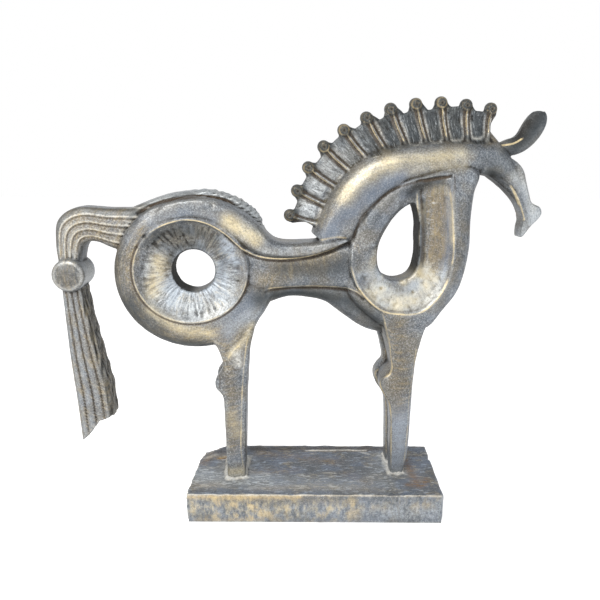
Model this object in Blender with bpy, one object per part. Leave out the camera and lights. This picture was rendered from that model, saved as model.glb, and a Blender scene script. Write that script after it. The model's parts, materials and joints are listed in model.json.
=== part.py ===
import math

import bmesh
import bpy
from mathutils import Vector

# All sizes below are in millimetres; the meshes are made in metres.
MM = 0.001

# Plinth: a low block with worn edges and its left back corner broken.
PLINTH_LENGTH = 247.0
PLINTH_DEPTH = 113.5
PLINTH_HEIGHT = 29.5
PLINTH_EDGE = 2.2
BREAK_ALONG = 25.0
BREAK_BACK = 40.0
BREAK_DROP = 10.0

# How the horse stands on it: turned a little, its tail nearer the front.
HORSE_TURN = math.radians(4.0)
HORSE_SET_BACK = 6.5
STANDING_GAP = 0.3

# The horse is drawn in its own upright plane: u runs to the head, w runs up
# from the plinth's top, and the thickness is the same on both sides of it.
BODY_HALF = 24.0
LIP_HALF = 25.5
BOWL_HALF = 20.5
HOLE_HALF = 15.0
TAIL_HALF = 15.0

# The ring walls: the hole's rounded corner, the lip's width and the dish's rise to it.
HOLE_CORNER = 2.0
HOLE_WALL_SHARES = (0.35, 0.8)
LIP_WIDTH = 3.0
DISH_STEPS = 5
DISH_CURVE = 1.2
RING_TURNS = 96
# Shares of a flank's width and of its half thickness, from the lip out to the silhouette.
FLANK_PROFILE = [(0.08, 1.0), (0.35, 0.99), (0.62, 0.95), (0.82, 0.85), (0.95, 0.66), (1.0, 0.35)]

# Rump: an oval ring with a dished face and a round hole.
RUMP_CENTRE = (-116.0, 207.2)
RUMP_RADII = (76.9, 73.6)
RUMP_RIM_CENTRE = (-120.0, 210.0)
RUMP_RIM_RADII = (53.0, 49.0)
RUMP_HOLE_CENTRE = (-118.0, 209.5)
RUMP_HOLE_RADIUS = 20.0
# Toward the waist the ring opens into the trough: heading in degrees, sharpness,
# and how much lower the lip and the flank are there.
RUMP_WAIST_SIDE = (0, 4, 3.0, 6.0)

# Chest: a drop-shaped ring round a drop-shaped hole.
CHEST_CENTRE = (78.0, 236.0)
CHEST_HOLE = [
    (98, 220), (98, 243), (97, 260), (92, 273), (80, 267), (69, 254), (60, 236),
    (58, 220), (62.5, 206), (76, 199), (92, 204),
]
CHEST_RIM = [
    (131, 233), (128, 267), (125, 300), (97, 299), (79, 293), (60, 279), (44, 261),
    (33, 239), (31, 216), (40, 192), (60, 172), (81, 167), (101, 169), (117, 183), (128, 203),
]
CHEST_EDGE = [
    (148, 226), (148.5, 259), (150.5, 283), (154, 306), (120, 318), (84, 310), (54, 294), (34, 272),
    (22, 243), (22, 212), (32, 182), (54, 160), (78, 148), (108, 150), (124, 168), (140, 191),
]

# The same toward the waist, and under the neck's tube, where the bowl is lower too.
CHEST_WAIST_SIDE = (205, 3, 2.0, 5.0)
CHEST_NECK_SIDE = (128, 1.2, 10.5, 12.0)
CHEST_BOWL_DROP = 4.0

# Neck: a round tube that arches from the withers to the poll.
# Each station is u, w, half width, half thickness.
NECK = [
    (6, 236, 15, 21), (17, 253, 19, 23), (33, 279, 21, 24), (54, 300, 20.5, 24.5), (79, 311, 18, 24.5),
    (110, 316, 16.5, 23.5), (145, 317, 16, 21.5), (168, 316, 15.5, 17), (184, 306, 10, 12),
]
NECK_ROUNDNESS = 2.3
NECK_SIDES = 28
# The raised band that sweeps off the rump, over the waist, to a leaf tip.
BAND = [
    (-158, 252, 8, 22), (-140, 264, 10, 25), (-117, 269, 11, 26.5), (-92, 264, 12.5, 26.5),
    (-70, 250, 14, 26.5), (-53, 235, 11, 26), (-36, 229.5, 8, 25), (-11, 229.5, 7.5, 24.5),
    (9, 233.5, 5, 24.5), (28, 239, 1.5, 23.5),
]
# The striated crest along the middle of the rump's top.
CREST = [
    (-174, 261.5, 7, 13), (-152, 270.5, 7, 13), (-133, 276, 7, 13), (-115, 278.5, 6.5, 13),
    (-99, 278, 7, 13), (-80, 272, 7, 13), (-64, 261.5, 7, 12), (-56.5, 253, 5, 10),
]
BAND_SQUARENESS = 3.5
CREST_SQUARENESS = 3.0
# The trough between the two rings, and the rounded belly under it.
WAIST = [(-82, 212, 24, 18), (-52, 210, 22, 20), (-27, 210, 20, 20), (2, 210, 19, 20), (40, 214, 26, 19)]
WAIST_SQUARENESS = 4.0
BELLY = [
    (-68, 182, 12, 20), (-52, 187, 12, 18), (-30, 193.5, 12, 16), (-8, 194, 13.5, 15),
    (14, 188.5, 13.5, 15), (34, 176, 15, 15), (56, 165, 18, 16), (82, 160, 18, 18),
]

# Thigh and legs: u of the rear and front edge of the flat face, at each w.
THIGH = [
    (194, -62, -34), (180, -73, -43), (168, -88, -52), (158, -108, -58), (146, -108, -63), (132, -96, -66),
]
THIGH_HALF = 24.3
HIND_LEG = [
    (152, -110, -61), (138, -99, -65.5), (125, -94, -67.5), (108, -93, -68.5), (84, -92, -69.5),
    (42, -91, -70.5), (-6, -90, -72),
]
FRONT_LEG = [
    (162, 57, 112), (150, 61, 106), (134, 66, 101), (118, 70, 98), (100, 72, 96),
    (72, 73.5, 95), (38, 74.5, 94), (16, 75, 92), (-6, 75.5, 87),
]
# A leg is two slabs, near and far, on a narrower core that leaves a groove between them.
LEG_CORE_HALF = 22.0
LEG_SLAB_CENTRE = 14.5
LEG_SLAB_HALF = 9.5
LEG_GROOVE = 3.2
LEG_SQUARENESS = 5.0
LEG_SIDES = 24
# Knee and hock bumps: u, w, half width, half height.
HOCK = (-92, 97, 9, 12.5)
KNEE = (70.5, 94, 11, 15)
BUMP_HALF = 9.5

# Mane: ridges run from the root line to the tip line, with a knob on each tip.
MANE_RIDGES = 11
MANE_ROOT = [(-3, 254), (17, 291), (39, 315), (74, 329), (120, 335), (162, 339)]
MANE_TIP = [(-26, 261), (-13, 298), (14, 333), (59, 357.5), (111, 367), (166, 362)]
# How far each web's edge lies below the knobs.
MANE_WEB_DIPS = [3.0, 2.4, 3.4, 2.4, 3.4, 5.2, 5.4, 5.2, 2.2, 3.4]
MANE_TUCK = 8.0
# Half width and half thickness of a ridge: in the neck, at its root, halfway and at its tip.
RIDGE_SECTIONS = [(4.6, 15), (3.6, 13), (3.8, 9.5), (4.6, 7.5)]
KNOB_RADIUS = 6.4
KNOB_HALF = 7.5
# Half thickness of a web between two ridges, at the same four places.
WEB_HALVES = [12, 10, 6.5, 5]
WEB_SQUARENESS = 3.0

# Head, ear and tail.
HEAD = [
    (168, 316), (187, 316), (199, 306), (203, 294.5), (206.5, 283.5), (210, 274), (218.5, 269.5), (220, 261.5),
    (210, 250), (201.5, 239.5), (200, 248), (201.5, 260.5), (195.8, 272), (186.5, 283), (176, 292), (164, 302),
]
HEAD_HALF = 10.0
HEAD_EDGE = 3.0
EDGE_ROUNDING = 0.3
BROW_SQUARENESS = 2.6
BROW = [(160, 314, 14, 18), (176, 309, 12.5, 16), (188, 299, 9, 12.5), (195, 287, 6, 11), (200, 274, 4, 10)]
EAR = [
    (168, 319, 7, 9), (183, 325.5, 8, 8), (192, 328.5, 9, 7.7), (199.5, 333.8, 10.2, 7.4),
    (206.5, 343.5, 11.6, 6.6), (211.8, 352.8, 10.6, 5.6), (214.6, 359.6, 7.2, 3.8),
]
TAIL_STRANDS = 5
STRAND_OVERLAP = 1.4
TAIL_OUTER = [
    (-158, 268.5), (-195, 268.5), (-223, 269.5), (-241.5, 258.5), (-245.5, 238), (-243.5, 205), (-242, 170),
    (-240, 125), (-236.5, 80), (-234, 37),
]
# How much higher than the line between the two edges each strand ends.
STRAND_LIFTS = [1.8, 3.0, 6.3, 5.0, 1.5]
TAIL_INNER = [
    (-164, 226), (-190, 229.5), (-205, 236), (-215.5, 236.5), (-221.3, 228), (-224, 205), (-220, 172),
    (-212, 130), (-204, 96), (-201.3, 64.5),
]
KNOT_CENTRE = (-233.8, 206.0)
KNOT_RADIUS = 16.0
KNOT_HALF = 22.0
KNOT_SPREAD = 9.0

# The fineness of the shapes and of the cast skin.
SPAN_STEPS = 3
THIN_SIDES = 12
LUMP_TURNS = 20
LUMP_RINGS = 12
SKIN_CELL = 1.6
SKIN_FACES = 0.038
SMOOTHING_ROUNDS = 2
# The block under the feet that cuts them off at their standing level.
GROUND_BLOCK = (300.0, 100.0, 30.0)


def clear_scene():
    for leftover in list(bpy.data.objects):
        bpy.data.objects.remove(leftover)


def curve_point(before, start, end, after, part):
    # One value of the smooth curve between start and end.
    return 0.5 * (
        2 * start
        + (end - before) * part
        + (2 * before - 5 * start + 4 * end - after) * part**2
        + (3 * start - before - 3 * end + after) * part**3
    )


def smooth_line(points, steps, closed=False):
    # Stations of any width, filled in with steps places to each span.
    count = len(points)
    spans = count if closed else count - 1
    line = []
    for span in range(spans):
        places = [span - 1, span, span + 1, span + 2]
        if closed:
            corners = [points[place % count] for place in places]
        else:
            corners = [points[min(max(place, 0), count - 1)] for place in places]
        for step in range(steps):
            line.append([curve_point(*values, step / steps) for values in zip(*corners)])
    if not closed:
        line.append([float(value) for value in points[-1]])
    return line


def spread(points, count):
    # count places at even distances along a smooth line.
    line = [Vector(point) for point in smooth_line(points, 12)]
    reach = [0.0]
    for start, end in zip(line, line[1:]):
        reach.append(reach[-1] + (end - start).length)
    places = []
    for index in range(count):
        wanted = reach[-1] * index / (count - 1)
        span = max(i for i in range(len(line) - 1) if reach[i] <= wanted + 1e-6)
        part = (wanted - reach[span]) / (reach[span + 1] - reach[span])
        places.append(line[span].lerp(line[span + 1], part))
    return places


def bridge(mesh, rings, closed=False):
    # Walls between neighbouring rings, and a cap at each free end.
    loops = []
    for ring in rings:
        loops.append([mesh.edges.new((ring[k - 1], ring[k])) for k in range(len(ring))])
    pairs = list(zip(loops, loops[1:]))
    if closed:
        pairs.append((loops[-1], loops[0]))
    for near, far in pairs:
        bmesh.ops.bridge_loops(mesh, edges=near + far)
    if not closed:
        mesh.faces.new(rings[0])
        mesh.faces.new(rings[-1])


def signed_power(value, power):
    return math.copysign(abs(value) ** power, value)


def section_ring(mesh, place, across, half_width, half_depth, square, sides):
    # One rounded-square ring of vertices round place, its width along across.
    ring = []
    for side in range(sides):
        angle = 2 * math.pi * (side + 0.5) / sides
        reach = signed_power(math.cos(angle), 2 / square) * half_width
        depth = signed_power(math.sin(angle), 2 / square) * half_depth
        point = Vector((place[0] + across[0] * reach, place[1] + depth, place[2] + across[1] * reach))
        ring.append(mesh.verts.new(point * MM))
    return ring


def sweep(mesh, stations, square=2.0, sides=20):
    # A bar along the stations u, w, half width, half thickness, square across its path.
    line = smooth_line(stations, SPAN_STEPS)
    rings = []
    for index, (u, w, half_width, half_depth) in enumerate(line):
        ahead = line[min(index + 1, len(line) - 1)]
        behind = line[max(index - 1, 0)]
        run = Vector((ahead[0] - behind[0], ahead[1] - behind[1])).normalized()
        rings.append(section_ring(mesh, (u, 0, w), (-run.y, run.x), half_width, half_depth, square, sides))
    bridge(mesh, rings)


def upright(mesh, levels, half_depth, middle=0.0, inset=0.0):
    # A leg or thigh from levels w, rear u, front u, its edges drawn in by inset.
    rings = []
    for w, rear, front in smooth_line(levels, SPAN_STEPS):
        place = ((rear + front) / 2, middle, w)
        half_width = (front - rear) / 2 - inset
        rings.append(section_ring(mesh, place, (1, 0), half_width, half_depth, LEG_SQUARENESS, LEG_SIDES))
    bridge(mesh, rings)


def lump(mesh, u, w, half_u, half_w, half_depth, middle=0.0):
    # A smooth rounded lump.
    made = bmesh.ops.create_uvsphere(mesh, u_segments=LUMP_TURNS, v_segments=LUMP_RINGS, radius=1.0)
    for vert in made["verts"]:
        vert.co.x = (vert.co.x * half_u + u) * MM
        vert.co.y = (vert.co.y * half_depth + middle) * MM
        vert.co.z = (vert.co.z * half_w + w) * MM


def plate(mesh, outline, half_depth, edge):
    # A flat plate cut to a smooth outline, its edges rounded off by edge.
    line = smooth_line(outline, SPAN_STEPS, closed=True)
    area = sum(line[k - 1][0] * line[k][1] - line[k][0] * line[k - 1][1] for k in range(len(line)))
    turn = math.copysign(1.0, area)
    halfway = edge * EDGE_ROUNDING
    near = [(edge, -half_depth), (halfway, -half_depth + halfway), (0.0, -half_depth + edge)]
    far = [(draw_in, -depth) for draw_in, depth in reversed(near)]
    rings = []
    for draw_in, depth in near + far:
        ring = []
        for index, (u, w) in enumerate(line):
            ahead = line[(index + 1) % len(line)]
            run = Vector((ahead[0] - line[index - 1][0], ahead[1] - line[index - 1][1])).normalized()
            inward = Vector((-run.y, run.x)) * turn
            ring.append(mesh.verts.new(Vector((u + inward.x * draw_in, depth, w + inward.y * draw_in)) * MM))
        rings.append(ring)
    bridge(mesh, rings)


def oval(centre, radii):
    # The reach of an oval from any point inside it, at any angle.
    def outline(start, angle):
        x = (start[0] - centre[0]) / radii[0]
        y = (start[1] - centre[1]) / radii[1]
        dx = math.cos(angle) / radii[0]
        dy = math.sin(angle) / radii[1]
        a = dx * dx + dy * dy
        b = x * dx + y * dy
        c = x * x + y * y - 1.0
        return (-b + math.sqrt(b * b - a * c)) / a
    return outline


def drawn(points):
    # The reach of a smooth closed outline from a point inside it.
    line = [Vector(point) for point in smooth_line(points, 8, closed=True)]

    def outline(start, angle):
        run = Vector((math.cos(angle), math.sin(angle)))
        side = Vector((-run.y, run.x))
        best = 0.0
        for index, end in enumerate(line):
            first = line[index - 1] - Vector(start)
            last = end - Vector(start)
            low, high = first.dot(side), last.dot(side)
            if (low <= 0 < high) or (high <= 0 < low):
                part = low / (low - high)
                best = max(best, first.lerp(last, part).dot(run))
        return best
    return outline


def ring_section(hole, rim, edge, bowl_half, lip_half, flank_half):
    # Half of the wall's section, from the hole out to the silhouette: radius, half thickness.
    inner = hole + HOLE_CORNER
    outer = rim - LIP_WIDTH
    section = [(hole, HOLE_HALF * share) for share in HOLE_WALL_SHARES] + [(inner, HOLE_HALF)]
    for step in range(1, DISH_STEPS + 1):
        part = step / DISH_STEPS
        rise = (bowl_half - HOLE_HALF) * part**DISH_CURVE
        section.append((inner + (outer - inner) * part, HOLE_HALF + rise))
    section.append((rim - LIP_WIDTH / 4, lip_half))
    for part, share in FLANK_PROFILE:
        section.append((rim + (edge - rim) * part, flank_half * share))
    return section


def hollow_ring(mesh, centre, hole, rim, edge, halves_at):
    # A ring of changing width: hole, rim and edge give the reach at each angle, and
    # halves_at the half thickness of the bowl's outer part, the lip and the flank.
    rings = []
    for turn in range(RING_TURNS):
        angle = 2 * math.pi * turn / RING_TURNS
        reaches = (hole(centre, angle), rim(centre, angle), edge(centre, angle))
        section = ring_section(*reaches, *halves_at(angle))
        near = [(reach, -half) for reach, half in section]
        far = [(reach, half) for reach, half in reversed(section)]
        ring = []
        for reach, depth in near + far:
            place = (centre[0] + math.cos(angle) * reach, depth, centre[1] + math.sin(angle) * reach)
            ring.append(mesh.verts.new(Vector(place) * MM))
        rings.append(ring)
    bridge(mesh, rings, closed=True)


def toward(angle, side):
    # 1 at the side's heading, falling to 0 away from it.
    heading, sharpness = side[:2]
    return max(0.0, math.cos(angle - math.radians(heading))) ** sharpness


def add_rump(mesh):
    def halves(angle):
        low = toward(angle, RUMP_WAIST_SIDE)
        return BOWL_HALF, LIP_HALF - RUMP_WAIST_SIDE[2] * low, BODY_HALF - RUMP_WAIST_SIDE[3] * low

    hollow_ring(
        mesh, RUMP_HOLE_CENTRE, oval(RUMP_HOLE_CENTRE, (RUMP_HOLE_RADIUS, RUMP_HOLE_RADIUS)),
        oval(RUMP_RIM_CENTRE, RUMP_RIM_RADII), oval(RUMP_CENTRE, RUMP_RADII), halves,
    )
    sweep(mesh, CREST, CREST_SQUARENESS)


def add_chest(mesh):
    def halves(angle):
        under_neck = toward(angle, CHEST_NECK_SIDE)
        low = toward(angle, CHEST_WAIST_SIDE)
        return (
            BOWL_HALF - CHEST_BOWL_DROP * under_neck,
            LIP_HALF - CHEST_NECK_SIDE[2] * under_neck - CHEST_WAIST_SIDE[2] * low,
            BODY_HALF - CHEST_NECK_SIDE[3] * under_neck - CHEST_WAIST_SIDE[3] * low,
        )

    hollow_ring(mesh, CHEST_CENTRE, drawn(CHEST_HOLE), drawn(CHEST_RIM), drawn(CHEST_EDGE), halves)


def add_trunk(mesh):
    sweep(mesh, WAIST, WAIST_SQUARENESS)
    sweep(mesh, BELLY)
    sweep(mesh, BAND, BAND_SQUARENESS)
    sweep(mesh, NECK, NECK_ROUNDNESS, NECK_SIDES)


def add_leg(mesh, levels, bump):
    # Two slabs, near and far, with a groove between them down both edges.
    upright(mesh, levels, LEG_CORE_HALF, inset=LEG_GROOVE)
    for side in (-1, 1):
        upright(mesh, levels, LEG_SLAB_HALF, side * LEG_SLAB_CENTRE)
        lump(mesh, *bump, BUMP_HALF, side * (BODY_HALF - BUMP_HALF))


def add_legs(mesh):
    upright(mesh, THIGH, THIGH_HALF)
    add_leg(mesh, HIND_LEG, HOCK)
    add_leg(mesh, FRONT_LEG, KNEE)


def fan_places(root, tip):
    # Four places along a ridge or web: inside the neck, its root, halfway and its tip.
    run = (tip - root).normalized()
    return [root - run * MANE_TUCK, root, root.lerp(tip, 0.5), tip]


def add_mane(mesh):
    roots = spread(MANE_ROOT, MANE_RIDGES)
    tips = spread(MANE_TIP, MANE_RIDGES)
    for root, tip in zip(roots, tips):
        stations = [(*place, *halves) for place, halves in zip(fan_places(root, tip), RIDGE_SECTIONS)]
        sweep(mesh, stations, sides=THIN_SIDES)
        lump(mesh, tip.x, tip.y, KNOB_RADIUS, KNOB_RADIUS, KNOB_HALF)
    for index, dip in enumerate(MANE_WEB_DIPS):
        root = roots[index].lerp(roots[index + 1], 0.5)
        tip = tips[index].lerp(tips[index + 1], 0.5)
        tip = tip - (tip - root).normalized() * dip
        half_root = (roots[index + 1] - roots[index]).length / 2
        half_tip = (tips[index + 1] - tips[index]).length / 2
        widths = [half_root, half_root, (half_root + half_tip) / 2, half_tip]
        stations = [(*place, *halves) for place, *halves in zip(fan_places(root, tip), widths, WEB_HALVES)]
        sweep(mesh, stations, WEB_SQUARENESS, THIN_SIDES)


def add_head(mesh):
    plate(mesh, HEAD, HEAD_HALF, HEAD_EDGE)
    sweep(mesh, BROW, BROW_SQUARENESS)
    sweep(mesh, EAR)


def add_tail(mesh):
    outer = [Vector(point) for point in TAIL_OUTER]
    inner = [Vector(point) for point in TAIL_INNER]
    for strand, lift in enumerate(STRAND_LIFTS):
        part = (strand + 0.5) / TAIL_STRANDS
        stations = []
        for edge, heel in zip(outer, inner):
            place = edge.lerp(heel, part)
            half_width = (edge - heel).length / TAIL_STRANDS / 2 * STRAND_OVERLAP
            stations.append((place.x, place.y, half_width, TAIL_HALF))
        stations[-1] = (place.x, place.y + lift, half_width, TAIL_HALF)
        sweep(mesh, stations, sides=THIN_SIDES)
    for middle in (-KNOT_SPREAD, 0.0, KNOT_SPREAD):
        lump(mesh, *KNOT_CENTRE, KNOT_RADIUS, KNOT_RADIUS, KNOT_HALF - KNOT_SPREAD, middle)


def finish_material(name, colour, roughness, metallic):
    material = bpy.data.materials.new(name)
    material.use_nodes = True
    shader = material.node_tree.nodes["Principled BSDF"]
    shader.inputs["Base Color"].default_value = (*colour, 1.0)
    shader.inputs["Roughness"].default_value = roughness
    shader.inputs["Metallic"].default_value = metallic
    material.diffuse_color = (*colour, 1.0)
    return material


def new_object(name, mesh, material):
    mesh.normal_update()
    data = bpy.data.meshes.new(name)
    mesh.to_mesh(data)
    mesh.free()
    data.materials.append(material)
    made = bpy.data.objects.new(name, data)
    bpy.context.scene.collection.objects.link(made)
    return made


def make_ground_cutter():
    # Everything below the feet's standing level.
    mesh = bmesh.new()
    bmesh.ops.create_cube(mesh, size=1.0)
    for vert in mesh.verts:
        vert.co.x *= GROUND_BLOCK[0] * MM
        vert.co.y *= GROUND_BLOCK[1] * MM
        vert.co.z = (vert.co.z - 0.5) * GROUND_BLOCK[2] * MM
    data = bpy.data.meshes.new("ground_cutter")
    mesh.to_mesh(data)
    mesh.free()
    cutter = bpy.data.objects.new("ground_cutter", data)
    bpy.context.scene.collection.objects.link(cutter)
    cutter.hide_render = True
    cutter.display_type = "WIRE"
    return cutter


def make_horse(stand):
    mesh = bmesh.new()
    add_rump(mesh)
    add_chest(mesh)
    add_trunk(mesh)
    add_legs(mesh)
    add_mane(mesh)
    add_head(mesh)
    add_tail(mesh)
    bmesh.ops.recalc_face_normals(mesh, faces=mesh.faces)
    horse = new_object("horse", mesh, finish_material("patinated_cast", (0.20, 0.22, 0.24), 0.45, 0.6))
    horse.parent = stand

    skin = horse.modifiers.new("skin", "REMESH")
    skin.mode = "VOXEL"
    skin.voxel_size = SKIN_CELL * MM
    smoothing = horse.modifiers.new("smoothing", "SMOOTH")
    smoothing.factor = 0.5
    smoothing.iterations = SMOOTHING_ROUNDS
    fewer = horse.modifiers.new("fewer", "DECIMATE")
    fewer.ratio = SKIN_FACES
    cutter = make_ground_cutter()
    cutter.parent = stand
    feet = horse.modifiers.new("feet", "BOOLEAN")
    feet.object = cutter
    feet.operation = "DIFFERENCE"
    feet.solver = "EXACT"
    return horse


def cut_corner(mesh, point, normal):
    # Takes off all that lies beyond a plane and closes the cut.
    everything = mesh.verts[:] + mesh.edges[:] + mesh.faces[:]
    cut = bmesh.ops.bisect_plane(
        mesh, geom=everything, dist=1e-7, plane_co=Vector(point) * MM, plane_no=normal, clear_outer=True
    )
    rim = [item for item in cut["geom_cut"] if isinstance(item, bmesh.types.BMEdge)]
    bmesh.ops.contextual_create(mesh, geom=rim)


def make_plinth():
    mesh = bmesh.new()
    bmesh.ops.create_cube(mesh, size=1.0)
    for vert in mesh.verts:
        vert.co.x *= PLINTH_LENGTH * MM
        vert.co.y *= PLINTH_DEPTH * MM
        vert.co.z = (vert.co.z + 0.5) * PLINTH_HEIGHT * MM
    half_length = PLINTH_LENGTH / 2
    half_depth = PLINTH_DEPTH / 2
    left = Vector((-half_length, half_depth - BREAK_BACK, PLINTH_HEIGHT))
    back = Vector((-half_length + BREAK_ALONG, half_depth, PLINTH_HEIGHT))
    below = Vector((-half_length, half_depth, PLINTH_HEIGHT - BREAK_DROP))
    normal = (back - left).cross(below - left).normalized()
    if normal.dot(Vector((-1, 1, 1))) < 0:
        normal.negate()
    cut_corner(mesh, left, normal)
    bmesh.ops.recalc_face_normals(mesh, faces=mesh.faces)
    plinth = new_object("plinth", mesh, finish_material("patinated_plinth", (0.24, 0.26, 0.28), 0.55, 0.45))
    worn = plinth.modifiers.new("worn_edges", "BEVEL")
    worn.width = PLINTH_EDGE * MM
    worn.segments = 3
    worn.limit_method = "ANGLE"
    return plinth


def main():
    clear_scene()
    stand = bpy.data.objects.new("stand", None)
    bpy.context.scene.collection.objects.link(stand)
    stand.location = (0, HORSE_SET_BACK * MM, (PLINTH_HEIGHT + STANDING_GAP) * MM)
    stand.rotation_euler = (0, 0, HORSE_TURN)
    make_horse(stand)
    make_plinth()


main()
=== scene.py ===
import json
import math

import bmesh
import bpy
import numpy as np
from mathutils import Matrix, Vector

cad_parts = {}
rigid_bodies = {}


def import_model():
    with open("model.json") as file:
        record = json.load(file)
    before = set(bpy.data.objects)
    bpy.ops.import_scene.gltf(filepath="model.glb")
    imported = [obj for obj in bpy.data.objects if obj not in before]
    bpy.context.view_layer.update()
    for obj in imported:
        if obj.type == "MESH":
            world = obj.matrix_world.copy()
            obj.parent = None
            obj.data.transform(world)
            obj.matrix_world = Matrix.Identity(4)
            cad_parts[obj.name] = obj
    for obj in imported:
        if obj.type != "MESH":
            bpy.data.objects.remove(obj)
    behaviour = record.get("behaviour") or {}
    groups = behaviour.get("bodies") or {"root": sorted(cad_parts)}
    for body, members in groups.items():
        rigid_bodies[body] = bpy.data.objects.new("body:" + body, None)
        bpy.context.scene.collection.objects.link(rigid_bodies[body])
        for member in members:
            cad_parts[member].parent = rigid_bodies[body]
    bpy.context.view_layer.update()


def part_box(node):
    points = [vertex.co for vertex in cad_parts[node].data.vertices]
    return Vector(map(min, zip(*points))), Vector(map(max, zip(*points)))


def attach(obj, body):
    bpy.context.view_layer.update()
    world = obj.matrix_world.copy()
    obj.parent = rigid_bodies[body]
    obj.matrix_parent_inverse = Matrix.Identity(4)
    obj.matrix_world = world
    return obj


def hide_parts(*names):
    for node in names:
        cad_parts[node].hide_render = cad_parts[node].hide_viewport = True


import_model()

mm = 0.001
bpy.ops.object.select_all(action="DESELECT")


# The camera stands where the photograph was taken, a little above the statue's back.
viewPoint = {
    "place": (0.0, -0.62738, 0.33903),
    "lookDown": 11.784,  # degrees below level
    "roll": -0.35,
    "lens": 39.0,
    "shift": -0.02833,
}


def addCamera():
    tilt = (math.radians(90 - viewPoint["lookDown"]), math.radians(viewPoint["roll"]), 0)
    bpy.ops.object.camera_add(location=viewPoint["place"], rotation=tilt)
    camera = bpy.context.object
    camera.data.lens = viewPoint["lens"]
    camera.data.sensor_width = 36
    camera.data.shift_x = viewPoint["shift"]
    bpy.context.scene.camera = camera


# Smooth lines through given stations, of any number of values each.
def curveValue(before, start, end, after, part):
    return 0.5 * (
        2 * start
        + (end - before) * part
        + (2 * before - 5 * start + 4 * end - after) * part**2
        + (3 * start - before - 3 * end + after) * part**3
    )


def smoothLine(points, steps, closed=False):
    count = len(points)
    line = []
    for span in range(count if closed else count - 1):
        places = [span - 1, span, span + 1, span + 2]
        if closed:
            corners = [points[place % count] for place in places]
        else:
            corners = [points[min(max(place, 0), count - 1)] for place in places]
        for step in range(steps):
            line.append([curveValue(*values, step / steps) for values in zip(*corners)])
    if not closed:
        line.append([float(value) for value in points[-1]])
    return line


def spread(points, count):
    # Places at even distances along a smooth line.
    line = [Vector(point) for point in smoothLine(points, 12)]
    reach = [0.0]
    for start, end in zip(line, line[1:]):
        reach.append(reach[-1] + (end - start).length)
    places = []
    for index in range(count):
        wanted = reach[-1] * index / (count - 1)
        span = max(i for i in range(len(line) - 1) if reach[i] <= wanted + 1e-6)
        part = (wanted - reach[span]) / (reach[span + 1] - reach[span])
        places.append(line[span].lerp(line[span + 1], part))
    return places


def oval(centre, radii, count=72):
    turns = [2 * math.pi * k / count for k in range(count)]
    return [(centre[0] + radii[0] * math.cos(a), centre[1] + radii[1] * math.sin(a)) for a in turns]


# Closed shells in the horse's own upright plane, later cast into one skin.
def addShell(rings):
    # A cylinder with one level for each ring, its corners moved onto the rings.
    sides = len(rings[0])
    last = len(rings) - 1
    bpy.ops.mesh.primitive_cylinder_add(vertices=sides, radius=1, depth=2, location=(0, 0, 0))
    shell = bpy.context.object
    bpy.ops.object.mode_set(mode="EDIT")
    bpy.ops.mesh.select_mode(type="EDGE")
    bpy.ops.mesh.select_all(action="DESELECT")
    cage = bmesh.from_edit_mesh(shell.data)
    for edge in cage.edges:
        edge.select_set(abs(edge.verts[0].co.z - edge.verts[1].co.z) > 1)
    bmesh.update_edit_mesh(shell.data)
    bpy.ops.mesh.subdivide(number_cuts=last - 1)
    bpy.ops.object.mode_set(mode="OBJECT")
    for vert in shell.data.vertices:
        level = round((vert.co.z + 1) / 2 * last)
        turn = (math.atan2(vert.co.y, vert.co.x) - math.pi / 2) / (2 * math.pi)
        vert.co = Vector(rings[level][round(turn * sides) % sides]) * mm
    return shell


def signedPower(value, power):
    return math.copysign(abs(value) ** power, value)


def sectionRing(place, across, halfWidth, halfDepth, square, sides, middle=0.0):
    # A rounded-square ring, wide along across and deep along the horse's thickness.
    ring = []
    for side in range(sides):
        angle = 2 * math.pi * (side + 0.5) / sides
        reach = signedPower(math.cos(angle), 2 / square) * halfWidth
        depth = signedPower(math.sin(angle), 2 / square) * halfDepth
        ring.append((place[0] + across[0] * reach, middle + depth, place[1] + across[1] * reach))
    return ring


def addBar(stations, square=2.0, sides=24, steps=4):
    # A bar along stations of u, w, half width and half thickness.
    line = smoothLine(stations, steps)
    rings = []
    for index, (u, w, halfWidth, halfDepth) in enumerate(line):
        ahead = line[min(index + 1, len(line) - 1)]
        behind = line[max(index - 1, 0)]
        run = Vector((ahead[0] - behind[0], ahead[1] - behind[1])).normalized()
        rings.append(sectionRing((u, w), (run.y, -run.x), halfWidth, halfDepth, square, sides))
    return addShell(rings)


def addUpright(levels, square, halfDepth=None, middle=0.0, inset=0.0):
    # A leg or thigh from levels of w, rear u, front u and, for the thigh, half thickness.
    rings = []
    for w, rear, front, *half in smoothLine(levels, 5):
        place = ((rear + front) / 2, w)
        half = half[0] if half else halfDepth
        rings.append(sectionRing(place, (-1, 0), (front - rear) / 2 - inset, half, square, 32, middle))
    return addShell(rings)


def addPlate(outline, halfDepth, edge):
    # A flat plate with rounded edges, cut to a smooth outline.
    line = smoothLine(outline, 5, closed=True)
    area = sum(line[k - 1][0] * line[k][1] - line[k][0] * line[k - 1][1] for k in range(len(line)))
    turn = math.copysign(1.0, area)
    near = [(edge, -halfDepth), (edge * 0.3, -halfDepth + edge * 0.3), (0.0, -halfDepth + edge)]
    rings = []
    for drawIn, depth in near + [(drawIn, -depth) for drawIn, depth in reversed(near)]:
        ring = []
        for index, (u, w) in enumerate(line):
            ahead = line[(index + 1) % len(line)]
            run = Vector((ahead[0] - line[index - 1][0], ahead[1] - line[index - 1][1])).normalized()
            ring.append((u - run.y * turn * drawIn, depth, w + run.x * turn * drawIn))
        rings.append(ring)
    return addShell(rings)


def addLump(u, w, radius, halfDepth):
    bpy.ops.mesh.primitive_uv_sphere_add(
        segments=28, ring_count=18, radius=1, location=(u * mm, 0, w * mm),
        scale=(radius * mm, halfDepth * mm, radius * mm),
    )


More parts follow.
